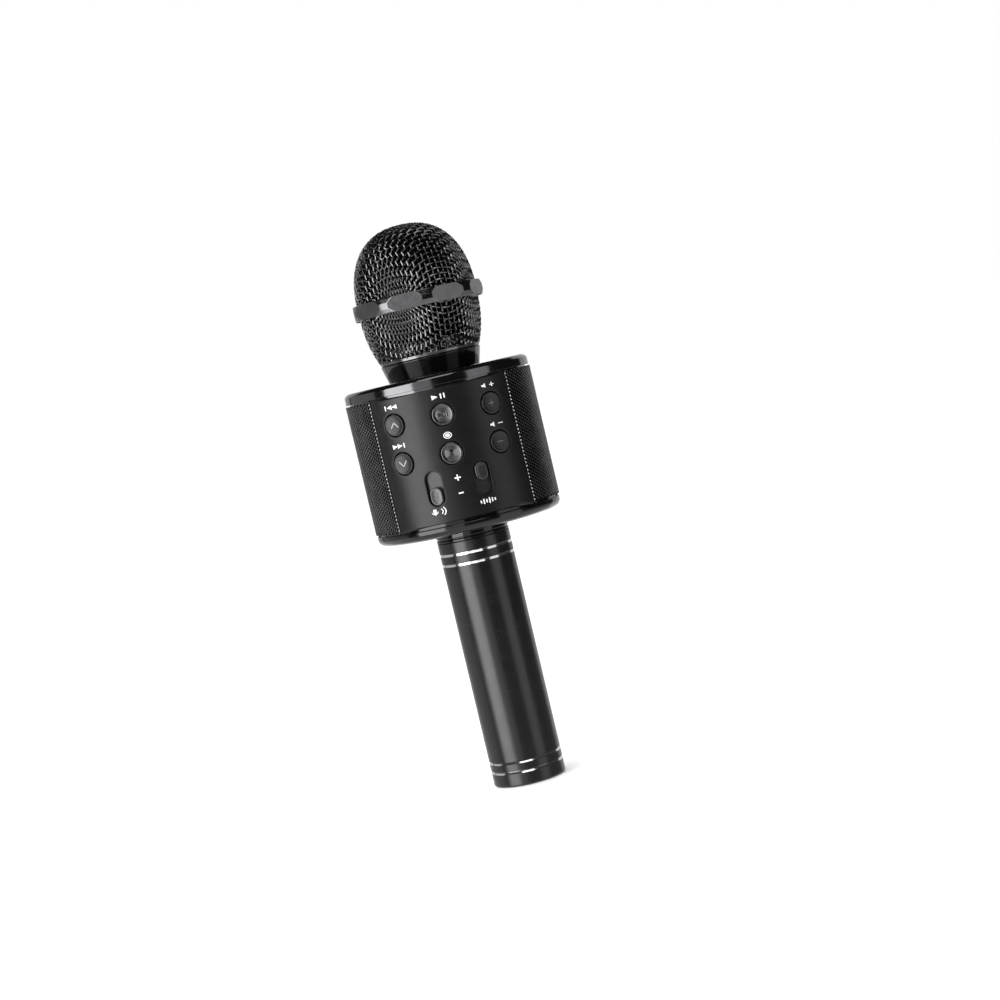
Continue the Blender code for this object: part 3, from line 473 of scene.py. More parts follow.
def step_on(shell, guess, anchors, pitch, plane=None):
    """The point of the shell one pitch from each anchor, or from one anchor in a plane."""
    p = guess.copy()
    for _ in range(12):
        rows = [2.0 * (p - a) for a in anchors] + [shell.gradient(p)]
        miss = [np.dot(p - a, p - a) - pitch ** 2 for a in anchors] + [shell.value(p)]
        if plane is not None:
            rows.append(plane)
            miss.append(np.dot(plane, p))
        try:
            move = np.linalg.solve(np.array(rows), -np.array(miss))
        except np.linalg.LinAlgError:
            return None
        size = np.linalg.norm(move)
        p = p + move * min(1.0, pitch / max(size, 1e-12))
        if size < 1e-8:
            return p
    return None


def weave_net(shell, stop_z, pitch):
    """Crossings of two families of wires that keep their spacing along themselves on the shell."""
    count = 26
    net = {(0, 0): shell.pole()}
    for axis, plane in (((1, 0), np.array([0.0, 1.0, 0.0])), ((0, 1), np.array([1.0, 0.0, 0.0]))):
        heading = np.array([axis[0], axis[1], 0.0])
        for k in range(1, count):
            last = net.get((axis[0] * (k - 1), axis[1] * (k - 1)))
            before = net.get((axis[0] * (k - 2), axis[1] * (k - 2)))
            if last is None or beyond(shell, last, stop_z):
                break
            guess = last + (heading * pitch if before is None else last - before)
            point = step_on(shell, guess, [last], pitch, plane)
            if point is None:
                break
            net[(axis[0] * k, axis[1] * k)] = point
    for i in range(1, count):
        for j in range(1, count):
            a, b, c = net.get((i - 1, j)), net.get((i, j - 1)), net.get((i - 1, j - 1))
            if a is None or b is None or c is None:
                continue
            if beyond(shell, a, stop_z) and beyond(shell, b, stop_z):
                continue
            point = step_on(shell, a + b - c, [a, b], pitch)
            if point is not None and np.linalg.norm(point - c) > 0.25 * pitch:
                net[(i, j)] = point
    full = {}
    for (i, j), p in net.items():
        for sx in (1, -1):
            for sy in (1, -1):
                full[(sx * i, sy * j)] = np.array([sx * p[0], sy * p[1], p[2]])
    return full


def beyond(shell, p, stop_z):
    return (p[2] - stop_z) * shell.way < 0.0


def wire_path(shell, nodes, signs, span, samples=5):
    """A smooth path through crossings that swings over and under the shell's middle surface."""
    path = []
    last = len(nodes) - 1
    for i in range(last):
        p0, p1 = nodes[max(i - 1, 0)], nodes[i]
        p2, p3 = nodes[i + 1], nodes[min(i + 2, last)]
        for k in range(samples + (1 if i == last - 1 else 0)):
            t = k / samples
            point = 0.5 * (2 * p1 + (p2 - p0) * t + (2 * p0 - 5 * p1 + 4 * p2 - p3) * t * t
                           + (3 * p1 - p0 - 3 * p2 + p3) * t ** 3)
            swing = signs[i] * math.cos(math.pi * t)
            normal = shell.normal(point)
            past_edge = not span[0] < point[2] < span[1]
            path.append((point + normal * (WIRE_WAVE * swing), normal, past_edge))
    return path


def tube_along(path, radius, sides, vertices, faces):
    """Add a round wire along (point, normal) pairs, closed at both ends."""
    start = len(vertices)
    count = len(path)
    for i, (point, normal) in enumerate(path):
        tangent = path[min(i + 1, count - 1)][0] - path[max(i - 1, 0)][0]
        tangent = tangent / np.linalg.norm(tangent)
        side = np.cross(tangent, normal)
        side = side / np.linalg.norm(side)
        up = np.cross(side, tangent)
        for s in range(sides):
            angle = TAU * s / sides
            vertices.append(point + radius * (math.cos(angle) * up + math.sin(angle) * side))
    for i in range(count - 1):
        for s in range(sides):
            n = (s + 1) % sides
            a, b = start + i * sides, start + (i + 1) * sides
            faces.append((a + s, a + n, b + n, b + s))
    faces.append(tuple(start + s for s in range(sides)))
    end = start + (count - 1) * sides
    faces.append(tuple(end + s for s in reversed(range(sides))))


def woven_shell(name, shell, span, node, sides=8):
    """Both families of wires of a drawn, plain-woven mesh, kept between two heights."""
    net = weave_net(shell, span[0] if shell.way > 0.0 else span[1], WIRE_PITCH)
    reach = max(max(abs(i), abs(j)) for i, j in net)
    vertices, faces = [], []
    for family in (0, 1):
        for fixed in range(-reach, reach + 1):
            keys = [(fixed, k) if family == 0 else (k, fixed) for k in range(-reach, reach + 1)]
            run = []
            for key in keys + [None]:
                if key in net:
                    run.append(key)
                    continue
                if len(run) > 2:
                    add_run(shell, net, run, family, span, sides, vertices, faces)
                run = []
    turn = Matrix.Rotation(WIRE_TURN, 4, "Z")
    mesh = mesh_from(name, vertices, faces, turn)
    return add_piece(name, mesh, ["wire"], "head_grille", [node], weighted=False)


def add_run(shell, net, run, family, span, sides, vertices, faces):
    """Add one wire, cut where it passes the mesh's edge."""
    nodes = [net[key] for key in run]
    signs = [(1.0 if (i + j + family) % 2 == 0 else -1.0) for i, j in run]
    stretch = []
    for point, normal, past_edge in wire_path(shell, nodes, signs, span) + [(None, None, True)]:
        if not past_edge:
            stretch.append((point, normal))
            continue
        if len(stretch) > 3:
            tube_along(stretch, WIRE_RADIUS, sides, vertices, faces)
        stretch = []


def build_head():
    inset = WIRE_RADIUS + WIRE_WAVE
    dome = Shell(DOME_RADIUS - inset, DOME_CENTRE, DOME_TOP - DOME_CENTRE - inset, DOME_POWER, 1.0)
    woven_shell("dome_wires", dome, (RING_HIGH - 0.8 * MM, DOME_TOP), "grille_dome")
    basket = Shell(BASKET_RADIUS - inset, RING_LOW, BASKET_DEPTH - inset, 2.0, -1.0)
    woven_shell("basket_wires", basket, (RIM_TOP - 0.5 * MM, RING_LOW + 0.8 * MM), "grille_basket")
    build_ring()
    build_rim()
    build_foam(dome, basket)


def build_ring():
    """Chamfered band with upright flats whose outlines stay crisp."""
    segments = 720
    middle = (RING_LOW + RING_HIGH) / 2.0
    band, soft = 1.1 * MM, 0.25 * MM
    outline = rounded([(RING_EDGE, RING_HIGH, 0.25 * MM), (RING_CORNER, middle + band, 0.2 * MM),
                       (RING_CORNER, middle - band, 0.2 * MM), (RING_EDGE, RING_LOW, 0.25 * MM),
                       (RING_BORE, RING_LOW, 0.3 * MM), (RING_BORE, RING_HIGH, 0.3 * MM)], True, 5)
    dense = []
    for a, b in zip(outline, outline[1:] + outline[:1]):
        parts = max(1, round((b - a).length / (0.25 * MM)))
        dense += [a.lerp(b, k / parts) for k in range(parts)]
    sharpness = 0.015 * MM
    vertices, faces = [], []
    for radius, height in dense:
        for j in range(segments):
            angle = TAU * j / segments
            azimuth = angle - math.pi / 2.0
            off = (azimuth - RING_TURN + TAU + math.pi / RING_FLATS) % (TAU / RING_FLATS)
            flat = RING_FLAT / math.cos(off - math.pi / RING_FLATS)
            gap = (flat - radius) / sharpness
            distance = radius if gap > 30.0 else radius - sharpness * math.log1p(math.exp(-gap))
            if radius < RING_BORE + soft:
                distance = radius
            vertices.append((distance * math.sin(azimuth), -distance * math.cos(azimuth), height))
    count = len(dense)
    for i in range(count):
        k = (i + 1) % count
        for j in range(segments):
            n = (j + 1) % segments
            faces.append((i * segments + j, k * segments + j, k * segments + n, i * segments + n))
    mesh = mesh_from("ring_shell", vertices, faces)
    add_piece("ring_shell", mesh, ["ring"], "head_grille", ["anti_roll_ring"],
              weighted=False)


def build_rim():
    """Metal hoop that grips the mesh's lower edge and carries the thread inside."""
    bottom, top = RIM_LOW, high("grille_rim").z
    outer, bore = high("grille_rim").x + 0.3 * MM, 20.4 * MM
    lathe("rim_shell", [
        (outer - 2.0 * MM, top, 0.2 * MM), (outer - 2.0 * MM, RIM_TOP, 0.2 * MM),
        (outer - 0.15 * MM, RIM_TOP, 0.15 * MM), (outer, RIM_TOP - 0.2 * MM, 0.1 * MM),
        (outer - 0.15 * MM, bottom + 0.25 * MM, 0.1 * MM), (outer - 0.4 * MM, bottom, 0.15 * MM),
        (bore, bottom, 0.2 * MM), (bore, top, 0.2 * MM)],
        ["rim"], "head_grille", ["grille_rim"], 256)


def build_foam(dome, basket):
    """Pop foam: a soft-skinned liner with a slightly uneven surface."""
    wall, clear = 3.0 * MM, 1.6 * MM
    foot = low("foam_liner").z
    outer, inner = [], []
    for points, inset in ((outer, clear), (inner, clear + wall)):
        for k in range(25):
            slope = math.pi / 2.0 * (1.0 - k / 24.0)
            rise = (dome.reach - inset) * math.sin(slope) ** (2.0 / dome.power)
            full = rise / (dome.reach - inset)
            across = max(0.0, 1.0 - full ** dome.power) ** (1.0 / dome.power)
            radius = (dome.radius - inset) * across
            if dome.centre + rise > RING_HIGH:
                reach = 0.0 if k == 0 else min(radius, RING_BORE - 0.6 * MM)
                points.append((reach, dome.centre + rise))
        for k in range(9):
            z = RING_HIGH + (foot - RING_HIGH) * k / 8.0
            drop = max(0.0, basket.centre - z) / basket.reach
            radius = (basket.radius - inset) * math.sqrt(1.0 - drop ** 2)
            points.append((min(radius, RING_BORE - 0.6 * MM - (inset - clear)), z))
    foam = lathe("foam", outer + inner[::-1], ["foam"], "foam", ["foam_liner"], 96)


# Drum

def build_neck():
    top, foot = NECK_TOP, DRUM_HIGH + 0.3 * MM
    thread, deck = 20.0 * MM, NECK_TOP + 0.6 * MM
    thread_top = high("neck_collar").z
    spigot = 17.2 * MM
    spigot_low = low("neck_collar").z
    threads = []
    turns = 4
    for k in range(turns):
        z = thread_top - 0.7 * MM - k * 1.1 * MM
        threads += [(thread, z, 0.1 * MM), (thread - 0.35 * MM, z - 0.4 * MM, 0.1 * MM),
                    (thread - 0.35 * MM, z - 0.7 * MM, 0.1 * MM)]
    lathe("neck_shell", [
        (thread - 0.4 * MM, thread_top, 0.2 * MM)] + threads + [
        (thread - 0.3 * MM, top, 0.1 * MM), (NECK_TOP_RADIUS, top, 0.5 * MM),
        (20.0 * MM, foot, 0.25 * MM), (spigot, foot, 0.1 * MM), (spigot, spigot_low, 0.3 * MM),
        (15.0 * MM, spigot_low, 0.2 * MM), (15.0 * MM, deck - 1.5 * MM, 0.3 * MM),
        (3.0 * MM, deck - 1.5 * MM, 0.2 * MM), (3.0 * MM, deck, 0.2 * MM),
        (thread - 2.0 * MM, deck, 0.3 * MM), (thread - 2.0 * MM, thread_top, 0.2 * MM)],
        ["gloss"], "housing", ["neck_collar"])


SCREWS = [f"base_screw_{i}" for i in range(1, 5)]


def screw_middle(node):
    lo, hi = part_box(node)
    return (lo.x + hi.x) / 2.0, (lo.y + hi.y) / 2.0


def build_trims():
    """End covers: metal with a sloping shoulder above, moulded with a round edge below."""
    seat = low("top_trim").z - 0.22 * MM
    bore = 17.5 * MM
    edge, lip = TRIM_RADIUS, 38.9 * MM
    lathe("top_trim_shell", [
        (bore, DRUM_HIGH, 0.2 * MM), (edge - 1.9 * MM, DRUM_HIGH, 0.7 * MM),
        (edge - 0.7 * MM, DRUM_HIGH - 0.6 * MM, 0.6 * MM), (edge, DRUM_HIGH - 1.6 * MM, 0.35 * MM),
        (edge, seat + 0.1 * MM, 0.05 * MM), (edge - 0.1 * MM, seat, 0.05 * MM), (lip, seat),
        (lip, seat - 1.2 * MM), (lip - 0.3 * MM, seat - 1.2 * MM), (lip - 0.3 * MM, seat),
        (bore, seat, 0.2 * MM)],
        ["trim"], "housing", ["top_trim"], 256)
    seat = high("bottom_trim").z
    bore = 14.5 * MM
    trim = lathe("bottom_trim_shell", [
        (bore, seat, 0.2 * MM), (lip - 0.3 * MM, seat), (lip - 0.3 * MM, seat + 1.2 * MM),
        (lip, seat + 1.2 * MM), (lip, seat), (edge - 0.3 * MM, seat, 0.1 * MM),
        (edge, seat - 0.35 * MM, 0.2 * MM),
        (edge, DRUM_LOW + 2.4 * MM, 0.9 * MM), (edge - 0.8 * MM, DRUM_LOW + 0.8 * MM, 0.9 * MM),
        (edge - 3.0 * MM, DRUM_LOW, 0.8 * MM), (bore, DRUM_LOW, 0.2 * MM)],
        ["gloss"], "housing", ["bottom_trim"], 256)
    well_radius, well_depth = 2.9 * MM, 3.8 * MM
    for node in SCREWS:
        bm = bmesh.new()
        bmesh.ops.create_cone(bm, cap_ends=True, segments=48, radius1=well_radius,
                              radius2=well_radius, depth=well_depth,
                              matrix=Matrix.Translation((*screw_middle(node), DRUM_LOW)))
        cut_with(trim, mesh_of(bm, "well"))


def cut_with(obj, cutter_mesh):
    """Cut a closed shape out of a piece and keep the result as its mesh."""
    cutter = link_new("cutter", cutter_mesh)
    modifier = obj.modifiers.new("Cut", "BOOLEAN")
    modifier.object = cutter
    modifier.operation = "DIFFERENCE"
    obj.modifiers.move(len(obj.modifiers) - 1, 0)
    weighted = obj.modifiers.get("Normals")
    if weighted is not None:
        weighted.show_viewport = False
    bpy.context.view_layer.update()
    depsgraph = bpy.context.evaluated_depsgraph_get()
    mesh = bpy.data.meshes.new_from_object(obj.evaluated_get(depsgraph), depsgraph=depsgraph)
    obj.modifiers.remove(modifier)
    obj.data = mesh
    finish_mesh(mesh)
    if weighted is not None:
        weighted.show_viewport = True
    bpy.data.objects.remove(cutter)


def build_screws():
    """Pan-head screws with a cross recess, under the drum."""
    arm, thin, recess = 1.5 * MM, 0.3 * MM, 0.8 * MM
    for i, node in enumerate(SCREWS, 1):
        lo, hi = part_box(node)
        x, y = screw_middle(node)
        place = Matrix.Translation((x, y, 0.0))
        head_top = lo.z + 1.4 * MM
        screw = lathe(f"screw_{i}", [
            (0.0, hi.z), (0.5 * MM, hi.z, 0.2 * MM), (1.1 * MM, hi.z - 0.8 * MM, 0.2 * MM),
            (1.1 * MM, head_top, 0.1 * MM), (2.6 * MM, head_top, 0.2 * MM),
            (2.6 * MM, lo.z + 0.5 * MM, 0.5 * MM), (1.6 * MM, lo.z, 0.6 * MM), (0.0, lo.z)],
            ["black_steel"], "housing", [node], 48, place)
        for half_x, half_y in ((arm, thin), (thin, arm)):
            bm = bmesh.new()
            bmesh.ops.create_cube(bm, size=2.0)
            bmesh.ops.scale(bm, vec=(half_x, half_y, recess), verts=bm.verts)
            bmesh.ops.translate(bm, vec=(x, y, lo.z), verts=bm.verts)
            cut_with(screw, mesh_of(bm, "slot"))


BUTTONS = {
    "previous": -BUTTON_AZIMUTH, "next": -BUTTON_AZIMUTH, "play": 0.0, "record": 0.0,
    "volume_up": BUTTON_AZIMUTH, "volume_down": BUTTON_AZIMUTH,
}
SLIDERS = {"mic_volume": -SLIDER_AZIMUTH, "remix": SLIDER_AZIMUTH}


def slot_z():
    return middle_z("pot_remix")


def build_panels():
    middle = (PANEL_LOW + PANEL_HIGH) / 2.0
    outer = (0.0, middle, PANEL_HALF_ANGLE * PANEL_RADIUS, (PANEL_HIGH - PANEL_LOW) / 2.0, 0.8 * MM)
    half_width, half_length = SLOT_WIDTH / 2.0, SLOT_LENGTH / 2.0
    holes = [(azimuth * PANEL_RADIUS, middle_z(f"button_{name}"), *[BUTTON_HOLE] * 3)
             for name, azimuth in BUTTONS.items()]
    holes += [(azimuth * PANEL_RADIUS, slot_z(), half_width, half_length, half_width)
              for azimuth in SLIDERS.values()]
    bent_plate("front_shell", outer, holes, 0.0, PANEL_RADIUS, PANEL_WALL, PANEL_EDGE, ["panel"],
               "housing", ["front_panel"])
    usb = (middle_x("usb_port"), middle_z("usb_port"), 4.5 * MM, 1.8 * MM, 1.7 * MM)
    jack = (middle_x("headphone_jack"), middle_z("headphone_jack"), *[3.4 * MM] * 3)
    card = (middle_x("card_socket"), middle_z("card_socket"), 7.0 * MM, 1.3 * MM, 0.6 * MM)
    led = (0.0, middle_z("status_led"), *[1.4 * MM] * 3)
    power = (0.0, middle_z("power_switch_body"), 2.2 * MM, 4.4 * MM, 0.5 * MM)
    rear_holes = [usb, jack, card, led, power]
    flat = [(-x / math.cos(x / PANEL_RADIUS), *rest) for x, *rest in rear_holes]
    bent_plate("rear_shell", outer, flat, math.pi, PANEL_RADIUS, PANEL_WALL, PANEL_EDGE, ["panel"],
               "housing", ["rear_panel"])


def build_speaker_grilles():
    """Perforated side walls with rolled edges and bright dimples along each upright seam."""
    side = math.pi / 2.0 - PANEL_HALF_ANGLE - math.radians(0.4)
    half = side * DRUM_RADIUS
    middle, half_z = (PANEL_LOW + PANEL_HIGH) / 2.0, (PANEL_HIGH - PANEL_LOW) / 2.0
    border, edge = 0.8 * MM, 0.2 * MM
    for name, azimuth in (("left", -math.pi / 2.0), ("right", math.pi / 2.0)):
        outer = (0.0, middle, half, half_z, 1.2 * MM)
        hole = (0.0, middle, half - border, half_z - border, 0.5 * MM)
        bent_plate(f"grille_edge_{name}", outer, [hole], azimuth, DRUM_RADIUS, 1.2 * MM, edge,
                   ["perforated"], "housing")
        perforated_wall(name, azimuth, half - border + 0.3 * MM, half_z - border + 0.3 * MM, middle)
        inner = (0.0, middle, half - 1.0 * MM, half_z - 1.0 * MM, 0.5 * MM)
        bent_plate(f"speaker_cloth_{name}", inner, [], azimuth, DRUM_RADIUS - 0.8 * MM, 0.3 * MM,
                   0.05 * MM, ["cloth"], "housing")
        build_beads(name, azimuth, half - border * 0.5, half_z, middle)


def perforated_wall(name, azimuth, half_x, half_z, middle):
    """A sheet of staggered round holes, each in a six-sided cell that its neighbours share."""
    column = HOLE_PITCH * math.cos(math.pi / 6.0)
    cell = HOLE_PITCH / math.sqrt(3.0)
    front, wall = 0.12 * MM, 0.55 * MM
    levels = ((None, front), (HOLE_RADIUS + 0.1 * MM, front), (HOLE_RADIUS, front + 0.08 * MM),
              (HOLE_RADIUS, wall), (None, wall))
    vertices, faces = [], []
    columns = int(half_x / column)
    rows = int(half_z / HOLE_PITCH)
    for i in range(-columns, columns + 1):
        for j in range(-rows - 1, rows + 1):
            x = i * column
            y = (j + (0.5 if i % 2 else 0.0) + 0.25) * HOLE_PITCH
            if abs(y) > half_z - 0.3 * HOLE_PITCH:
                continue
            start = len(vertices)
            for k in range(HOLE_SIDES):
                angle = k * TAU / HOLE_SIDES
                reach = cell if k % 2 == 0 else cell * math.cos(math.pi / 6.0)
                for radius, depth in levels:
                    out = reach if radius is None else radius
                    vertices.append((x + math.cos(angle) * out, y + math.sin(angle) * out, depth))
            count = len(levels)
            for k in range(HOLE_SIDES):
                a, b = start + count * k, start + count * ((k + 1) % HOLE_SIDES)
                faces += [(a + level, b + level, b + level + 1, a + level + 1)
                          for level in range(count - 1)]
    mesh = bpy.data.meshes.new(f"grille_holes_{name}")
    mesh.from_pydata(vertices, [], faces)
    bm = bmesh.new()
    bm.from_mesh(mesh)
    bmesh.ops.remove_doubles(bm, verts=bm.verts, dist=0.02 * MM)
    close_sheet(bm)
    for vertex in bm.verts:
        x, y, depth = vertex.co
        vertex.co = bend((x, middle + y, depth), azimuth, DRUM_RADIUS)
    bmesh.ops.recalc_face_normals(bm, faces=bm.faces)
    bm.to_mesh(mesh)
    bm.free()
    add_piece(f"grille_holes_{name}", mesh, ["perforated"], "housing", [f"speaker_grille_{name}"],
              weighted=False)


def close_sheet(bm):
    """Join the front and back outlines of a flat sheet with walls."""
    snap, layer = 0.02 * MM, 0.1 * MM

    def place(vertex):
        return (round(vertex.co.x / snap), round(vertex.co.y / snap))

    edges = [edge for edge in bm.edges if len(edge.link_faces) == 1]
    places = {}
    for edge in edges:
        for vertex in edge.verts:
            places.setdefault(place(vertex), {})[round(vertex.co.z / layer)] = vertex
    front = min(level for stack in places.values() for level in stack)
    for edge in edges:
        stacks = [places[place(vertex)] for vertex in edge.verts]
        if round(edge.verts[0].co.z / layer) == front and all(len(stack) == 2 for stack in stacks):
            other = [stack[max(stack)] for stack in stacks]
            bm.faces.new((edge.verts[0], edge.verts[1], other[1], other[0]))


def in_order(name, bm):
    """The same mesh with its faces sorted, because sphere faces come in a new order each run."""
    bm.verts.index_update()
    vertices = [vertex.co.copy() for vertex in bm.verts]
    faces = []
    for face in bm.faces:
        corners = [vertex.index for vertex in face.verts]
        first = corners.index(min(corners))
        faces.append(corners[first:] + corners[:first])
    bm.free()
    return mesh_from(name, vertices, sorted(faces))


def build_beads(name, azimuth, x, half_z, middle):
    bm = bmesh.new()
    count = int(2.0 * (half_z - 1.5 * MM) / HOLE_PITCH)
    for side in (-1.0, 1.0):
        for k in range(count + 1):
            z = middle - count * HOLE_PITCH / 2.0 + k * HOLE_PITCH
            centre = bend((side * x, z, 0.02 * MM), azimuth, DRUM_RADIUS)
            bmesh.ops.create_uvsphere(bm, u_segments=10, v_segments=6, radius=0.30 * MM,
                                      matrix=Matrix.Translation(centre))
    piece = f"grille_dimples_{name}"
    add_piece(piece, in_order(piece, bm), ["bead"], "housing", weighted=False)


# Controls

def stroke(points, width):
    """Boxes along a line of points, as polygons."""
    shapes = []
    for (x0, y0), (x1, y1) in zip(points, points[1:]):
        length = math.hypot(x1 - x0, y1 - y0)
        ux, uy = (x1 - x0) / length, (y1 - y0) / length
        nx, ny = -uy * width / 2.0, ux * width / 2.0
        ex, ey = ux * width / 2.0, uy * width / 2.0
        shapes.append([(x0 - ex + nx, y0 - ey + ny), (x0 - ex - nx, y0 - ey - ny),
                       (x1 + ex - nx, y1 + ey - ny), (x1 + ex + nx, y1 + ey + ny)])
    return shapes


def disc(x, y, radius, count=20):
    return [(x + radius * math.cos(TAU * k / count), y + radius * math.sin(TAU * k / count))
            for k in range(count)]


def triangle(x, y, size, way):
    return [(x + way * size * 0.55, y), (x - way * size * 0.45, y + size * 0.5),
            (x - way * size * 0.45, y - size * 0.5)]


def arc_strokes(x, y, radius, start, end, width, count=6):
    points = [(x + radius * math.cos(math.radians(start + (end - start) * k / count)),
               y + radius * math.sin(math.radians(start + (end - start) * k / count)))
              for k in range(count + 1)]
    return stroke(points, width)


def speaker_mark(x):
    return [[(x - 1.3, 0.4), (x - 0.7, 0.4), (x + 0.1, 1.0), (x + 0.1, -1.0), (x - 0.7, -0.4),
             (x - 1.3, -0.4)]]


def microphone_mark(x, y):
    return ([disc(x, y + 0.75, 0.5)] + stroke([(x, y + 0.75), (x, y - 0.1)], 1.0)
            + arc_strokes(x, y + 0.1, 0.95, 180, 360, 0.22)
            + stroke([(x, y - 0.9), (x, y - 1.2)], 0.22))


LABELS = {
    "previous": [triangle(-0.3, 0.0, 1.9, -1), triangle(1.6, 0.0, 1.9, -1)]
    + stroke([(-1.9, 0.8), (-1.9, -0.8)], 0.4),
    "next": [triangle(-1.6, 0.0, 1.9, 1), triangle(0.3, 0.0, 1.9, 1)]
    + stroke([(1.9, 0.8), (1.9, -0.8)], 0.4),
    "play": [triangle(-1.4, 0.0, 2.0, 1)] + stroke([(0.7, 0.8), (0.7, -0.8)], 0.45)
    + stroke([(1.8, 0.8), (1.8, -0.8)], 0.45),
    "record": [disc(0.0, 0.0, 0.75)] + arc_strokes(0.0, 0.0, 1.25, 0, 360, 0.3, 18),
    "volume_up": speaker_mark(-0.9) + stroke([(0.9, 0.0), (2.3, 0.0)], 0.35)
    + stroke([(1.6, 0.7), (1.6, -0.7)], 0.35),
    "volume_down": speaker_mark(-0.9) + stroke([(0.9, 0.0), (2.3, 0.0)], 0.35),
}


def build_marks():
    """White pictograms printed on the panel, one above each button and one below each slider."""
    above = 7.6 * MM
    for name, azimuth in BUTTONS.items():
        z = middle_z(f"button_{name}") + above
        raised(f"mark_{name}", LABELS[name], panel_wrap(azimuth, z, 1.3), "print", "housing")
    plus_z, minus_z = slot_z() + 2.6 * MM, slot_z() - 3.9 * MM
    plus = stroke([(-1.05, 0.0), (1.05, 0.0)], 0.55) + stroke([(0.0, 1.05), (0.0, -1.05)], 0.55)
    raised("mark_plus", plus, panel_wrap(0.0, plus_z), "print", "housing")
    minus = stroke([(-0.75, 0.0), (0.75, 0.0)], 0.6)
    raised("mark_minus", minus, panel_wrap(0.0, minus_z), "print", "housing")
    below = slot_z() - 9.6 * MM
    sound = arc_strokes(-0.6, 0.0, 1.5, -40, 40, 0.3) + arc_strokes(-0.6, 0.0, 2.4, -40, 40, 0.3)
    raised("mark_mic_volume", microphone_mark(-1.6, 0.0) + sound,
           panel_wrap(-SLIDER_AZIMUTH, below, 1.4), "print", "housing")
    waves = []
    for k, size in enumerate((0.5, 1.1, 0.7, 1.2, 0.8, 0.4)):
        waves += stroke([(-2.4 + 0.95 * k, size * 0.8), (-2.4 + 0.95 * k, -size * 0.8)], 0.42)
    raised("mark_remix", waves, panel_wrap(SLIDER_AZIMUTH, below, 1.3), "print", "housing")


def panel_wrap(azimuth, z, wide=1.0):
    """Lay a flat drawing on the panel, stretched sideways by `wide`."""
    return lambda p: bend((wide * p[0], z + p[1], p[2]), azimuth, PANEL_RADIUS)


def spun_bowl(dish):
    """Fine turned rings on the floor of a dished cap."""
    pitch, depth, count = 0.22 * MM, 0.035 * MM, 28
    return [(0.0, dish)] + [((k + 1) * pitch / 2.0, dish + (depth if k % 2 else 0.0))
                            for k in range(count)]


def build_buttons():
    """Dished caps: a rounded rim round a shallow bowl, with a raised or sunk sign in the middle."""
    chevron = [(-1.65, -0.95), (0.0, 1.15), (1.65, -0.95)]
    signs = {
        "previous": (stroke(chevron, 0.5), "engraved"),
        "next": (stroke([(x, -y) for x, y in chevron], 0.5), "engraved"),
        "play": ([triangle(-1.0, 0.0, 2.4, 1)] + stroke([(1.0, 1.0), (1.0, -1.0)], 0.4)
                 + stroke([(1.9, 1.0), (1.9, -1.0)], 0.4), "engraved_dark"),
        "record": (microphone_mark(0.0, 0.2), "engraved_dark"),
        "volume_up": (stroke([(-1.2, 0.0), (1.2, 0.0)], 0.34)
                      + stroke([(0.0, 1.2), (0.0, -1.2)], 0.34), "engraved"),
        "volume_down": (stroke([(-1.2, 0.0), (1.2, 0.0)], 0.34), "engraved"),
    }
    dish = BUTTON_TOP - 0.32 * MM
    lift = dish + 0.03 * MM
    flange, flange_top, stem_end = 5.5 * MM, 38.3 * MM, 37.0 * MM
    for name, azimuth in BUTTONS.items():
        node = f"button_{name}"
        place = face_out(azimuth, middle_z(node))
        finish, bowl = "button", [(0.0, dish), (2.2 * MM, lift, 0.8 * MM)]
        if azimuth == 0.0:
            finish, bowl = "button_spun", spun_bowl(dish)
        lathe(f"cap_{name}", bowl + [
            (3.5 * MM, dish + 0.14 * MM, 0.3 * MM),
            (3.85 * MM, BUTTON_TOP - 0.04 * MM, 0.2 * MM), (4.2 * MM, BUTTON_TOP, 0.2 * MM),
            (BUTTON_RADIUS, BUTTON_TOP - 0.25 * MM, 0.25 * MM),
            (BUTTON_RADIUS, flange_top, 0.1 * MM),
            (flange, flange_top, 0.1 * MM), (flange, flange_top - 0.6 * MM, 0.1 * MM),
            (1.5 * MM, flange_top - 0.6 * MM, 0.1 * MM), (1.5 * MM, stem_end, 0.2 * MM),
            (0.0, stem_end)],
            [finish], node, [node], 96, place)
        shapes, key = signs[name]

        def wrap(p, place=place):
            return tuple(place @ Vector((p[0], p[1], lift - p[2])))
        raised(f"sign_{name}", shapes, wrap, key, node, 0.04 * MM, 0.04 * MM)


def extruded(name, shape, steps, levels, looks, body, stands_for=(), place=None):
    """A round-cornered block along local Z, from (inset, height) levels and closed at both ends."""
    vertices, faces = [], []
    loops = [rounded_rect(*shape, -inset, steps) for inset, _ in levels]
    count = len(loops[0])
    for loop, (_, height) in zip(loops, levels):
        vertices += [(x, y, height) for x, y in loop]
    for i in range(len(levels) - 1):
        for j in range(count):
            n = (j + 1) % count
            faces.append((i * count + j, i * count + n, (i + 1) * count + n, (i + 1) * count + j))
    faces.append(tuple(range(count)))
    faces.append(tuple(reversed(range((len(levels) - 1) * count, len(levels) * count))))
    return add_piece(name, mesh_from(name, vertices, faces, place), looks, body, stands_for)


def edge_levels(bottom, top, rounding, steps=4):
    """Levels of a block whose top edge is rounded: (inset, height) pairs from the bottom up."""
    levels = [(0.0, bottom)]
    for k in range(steps + 1):
        angle = k / steps * math.pi / 2.0
        levels.append((rounding * (1.0 - math.cos(angle)),
                       top - rounding * (1.0 - math.sin(angle))))
    levels.append((rounding + 0.2 * MM, top))
    return levels


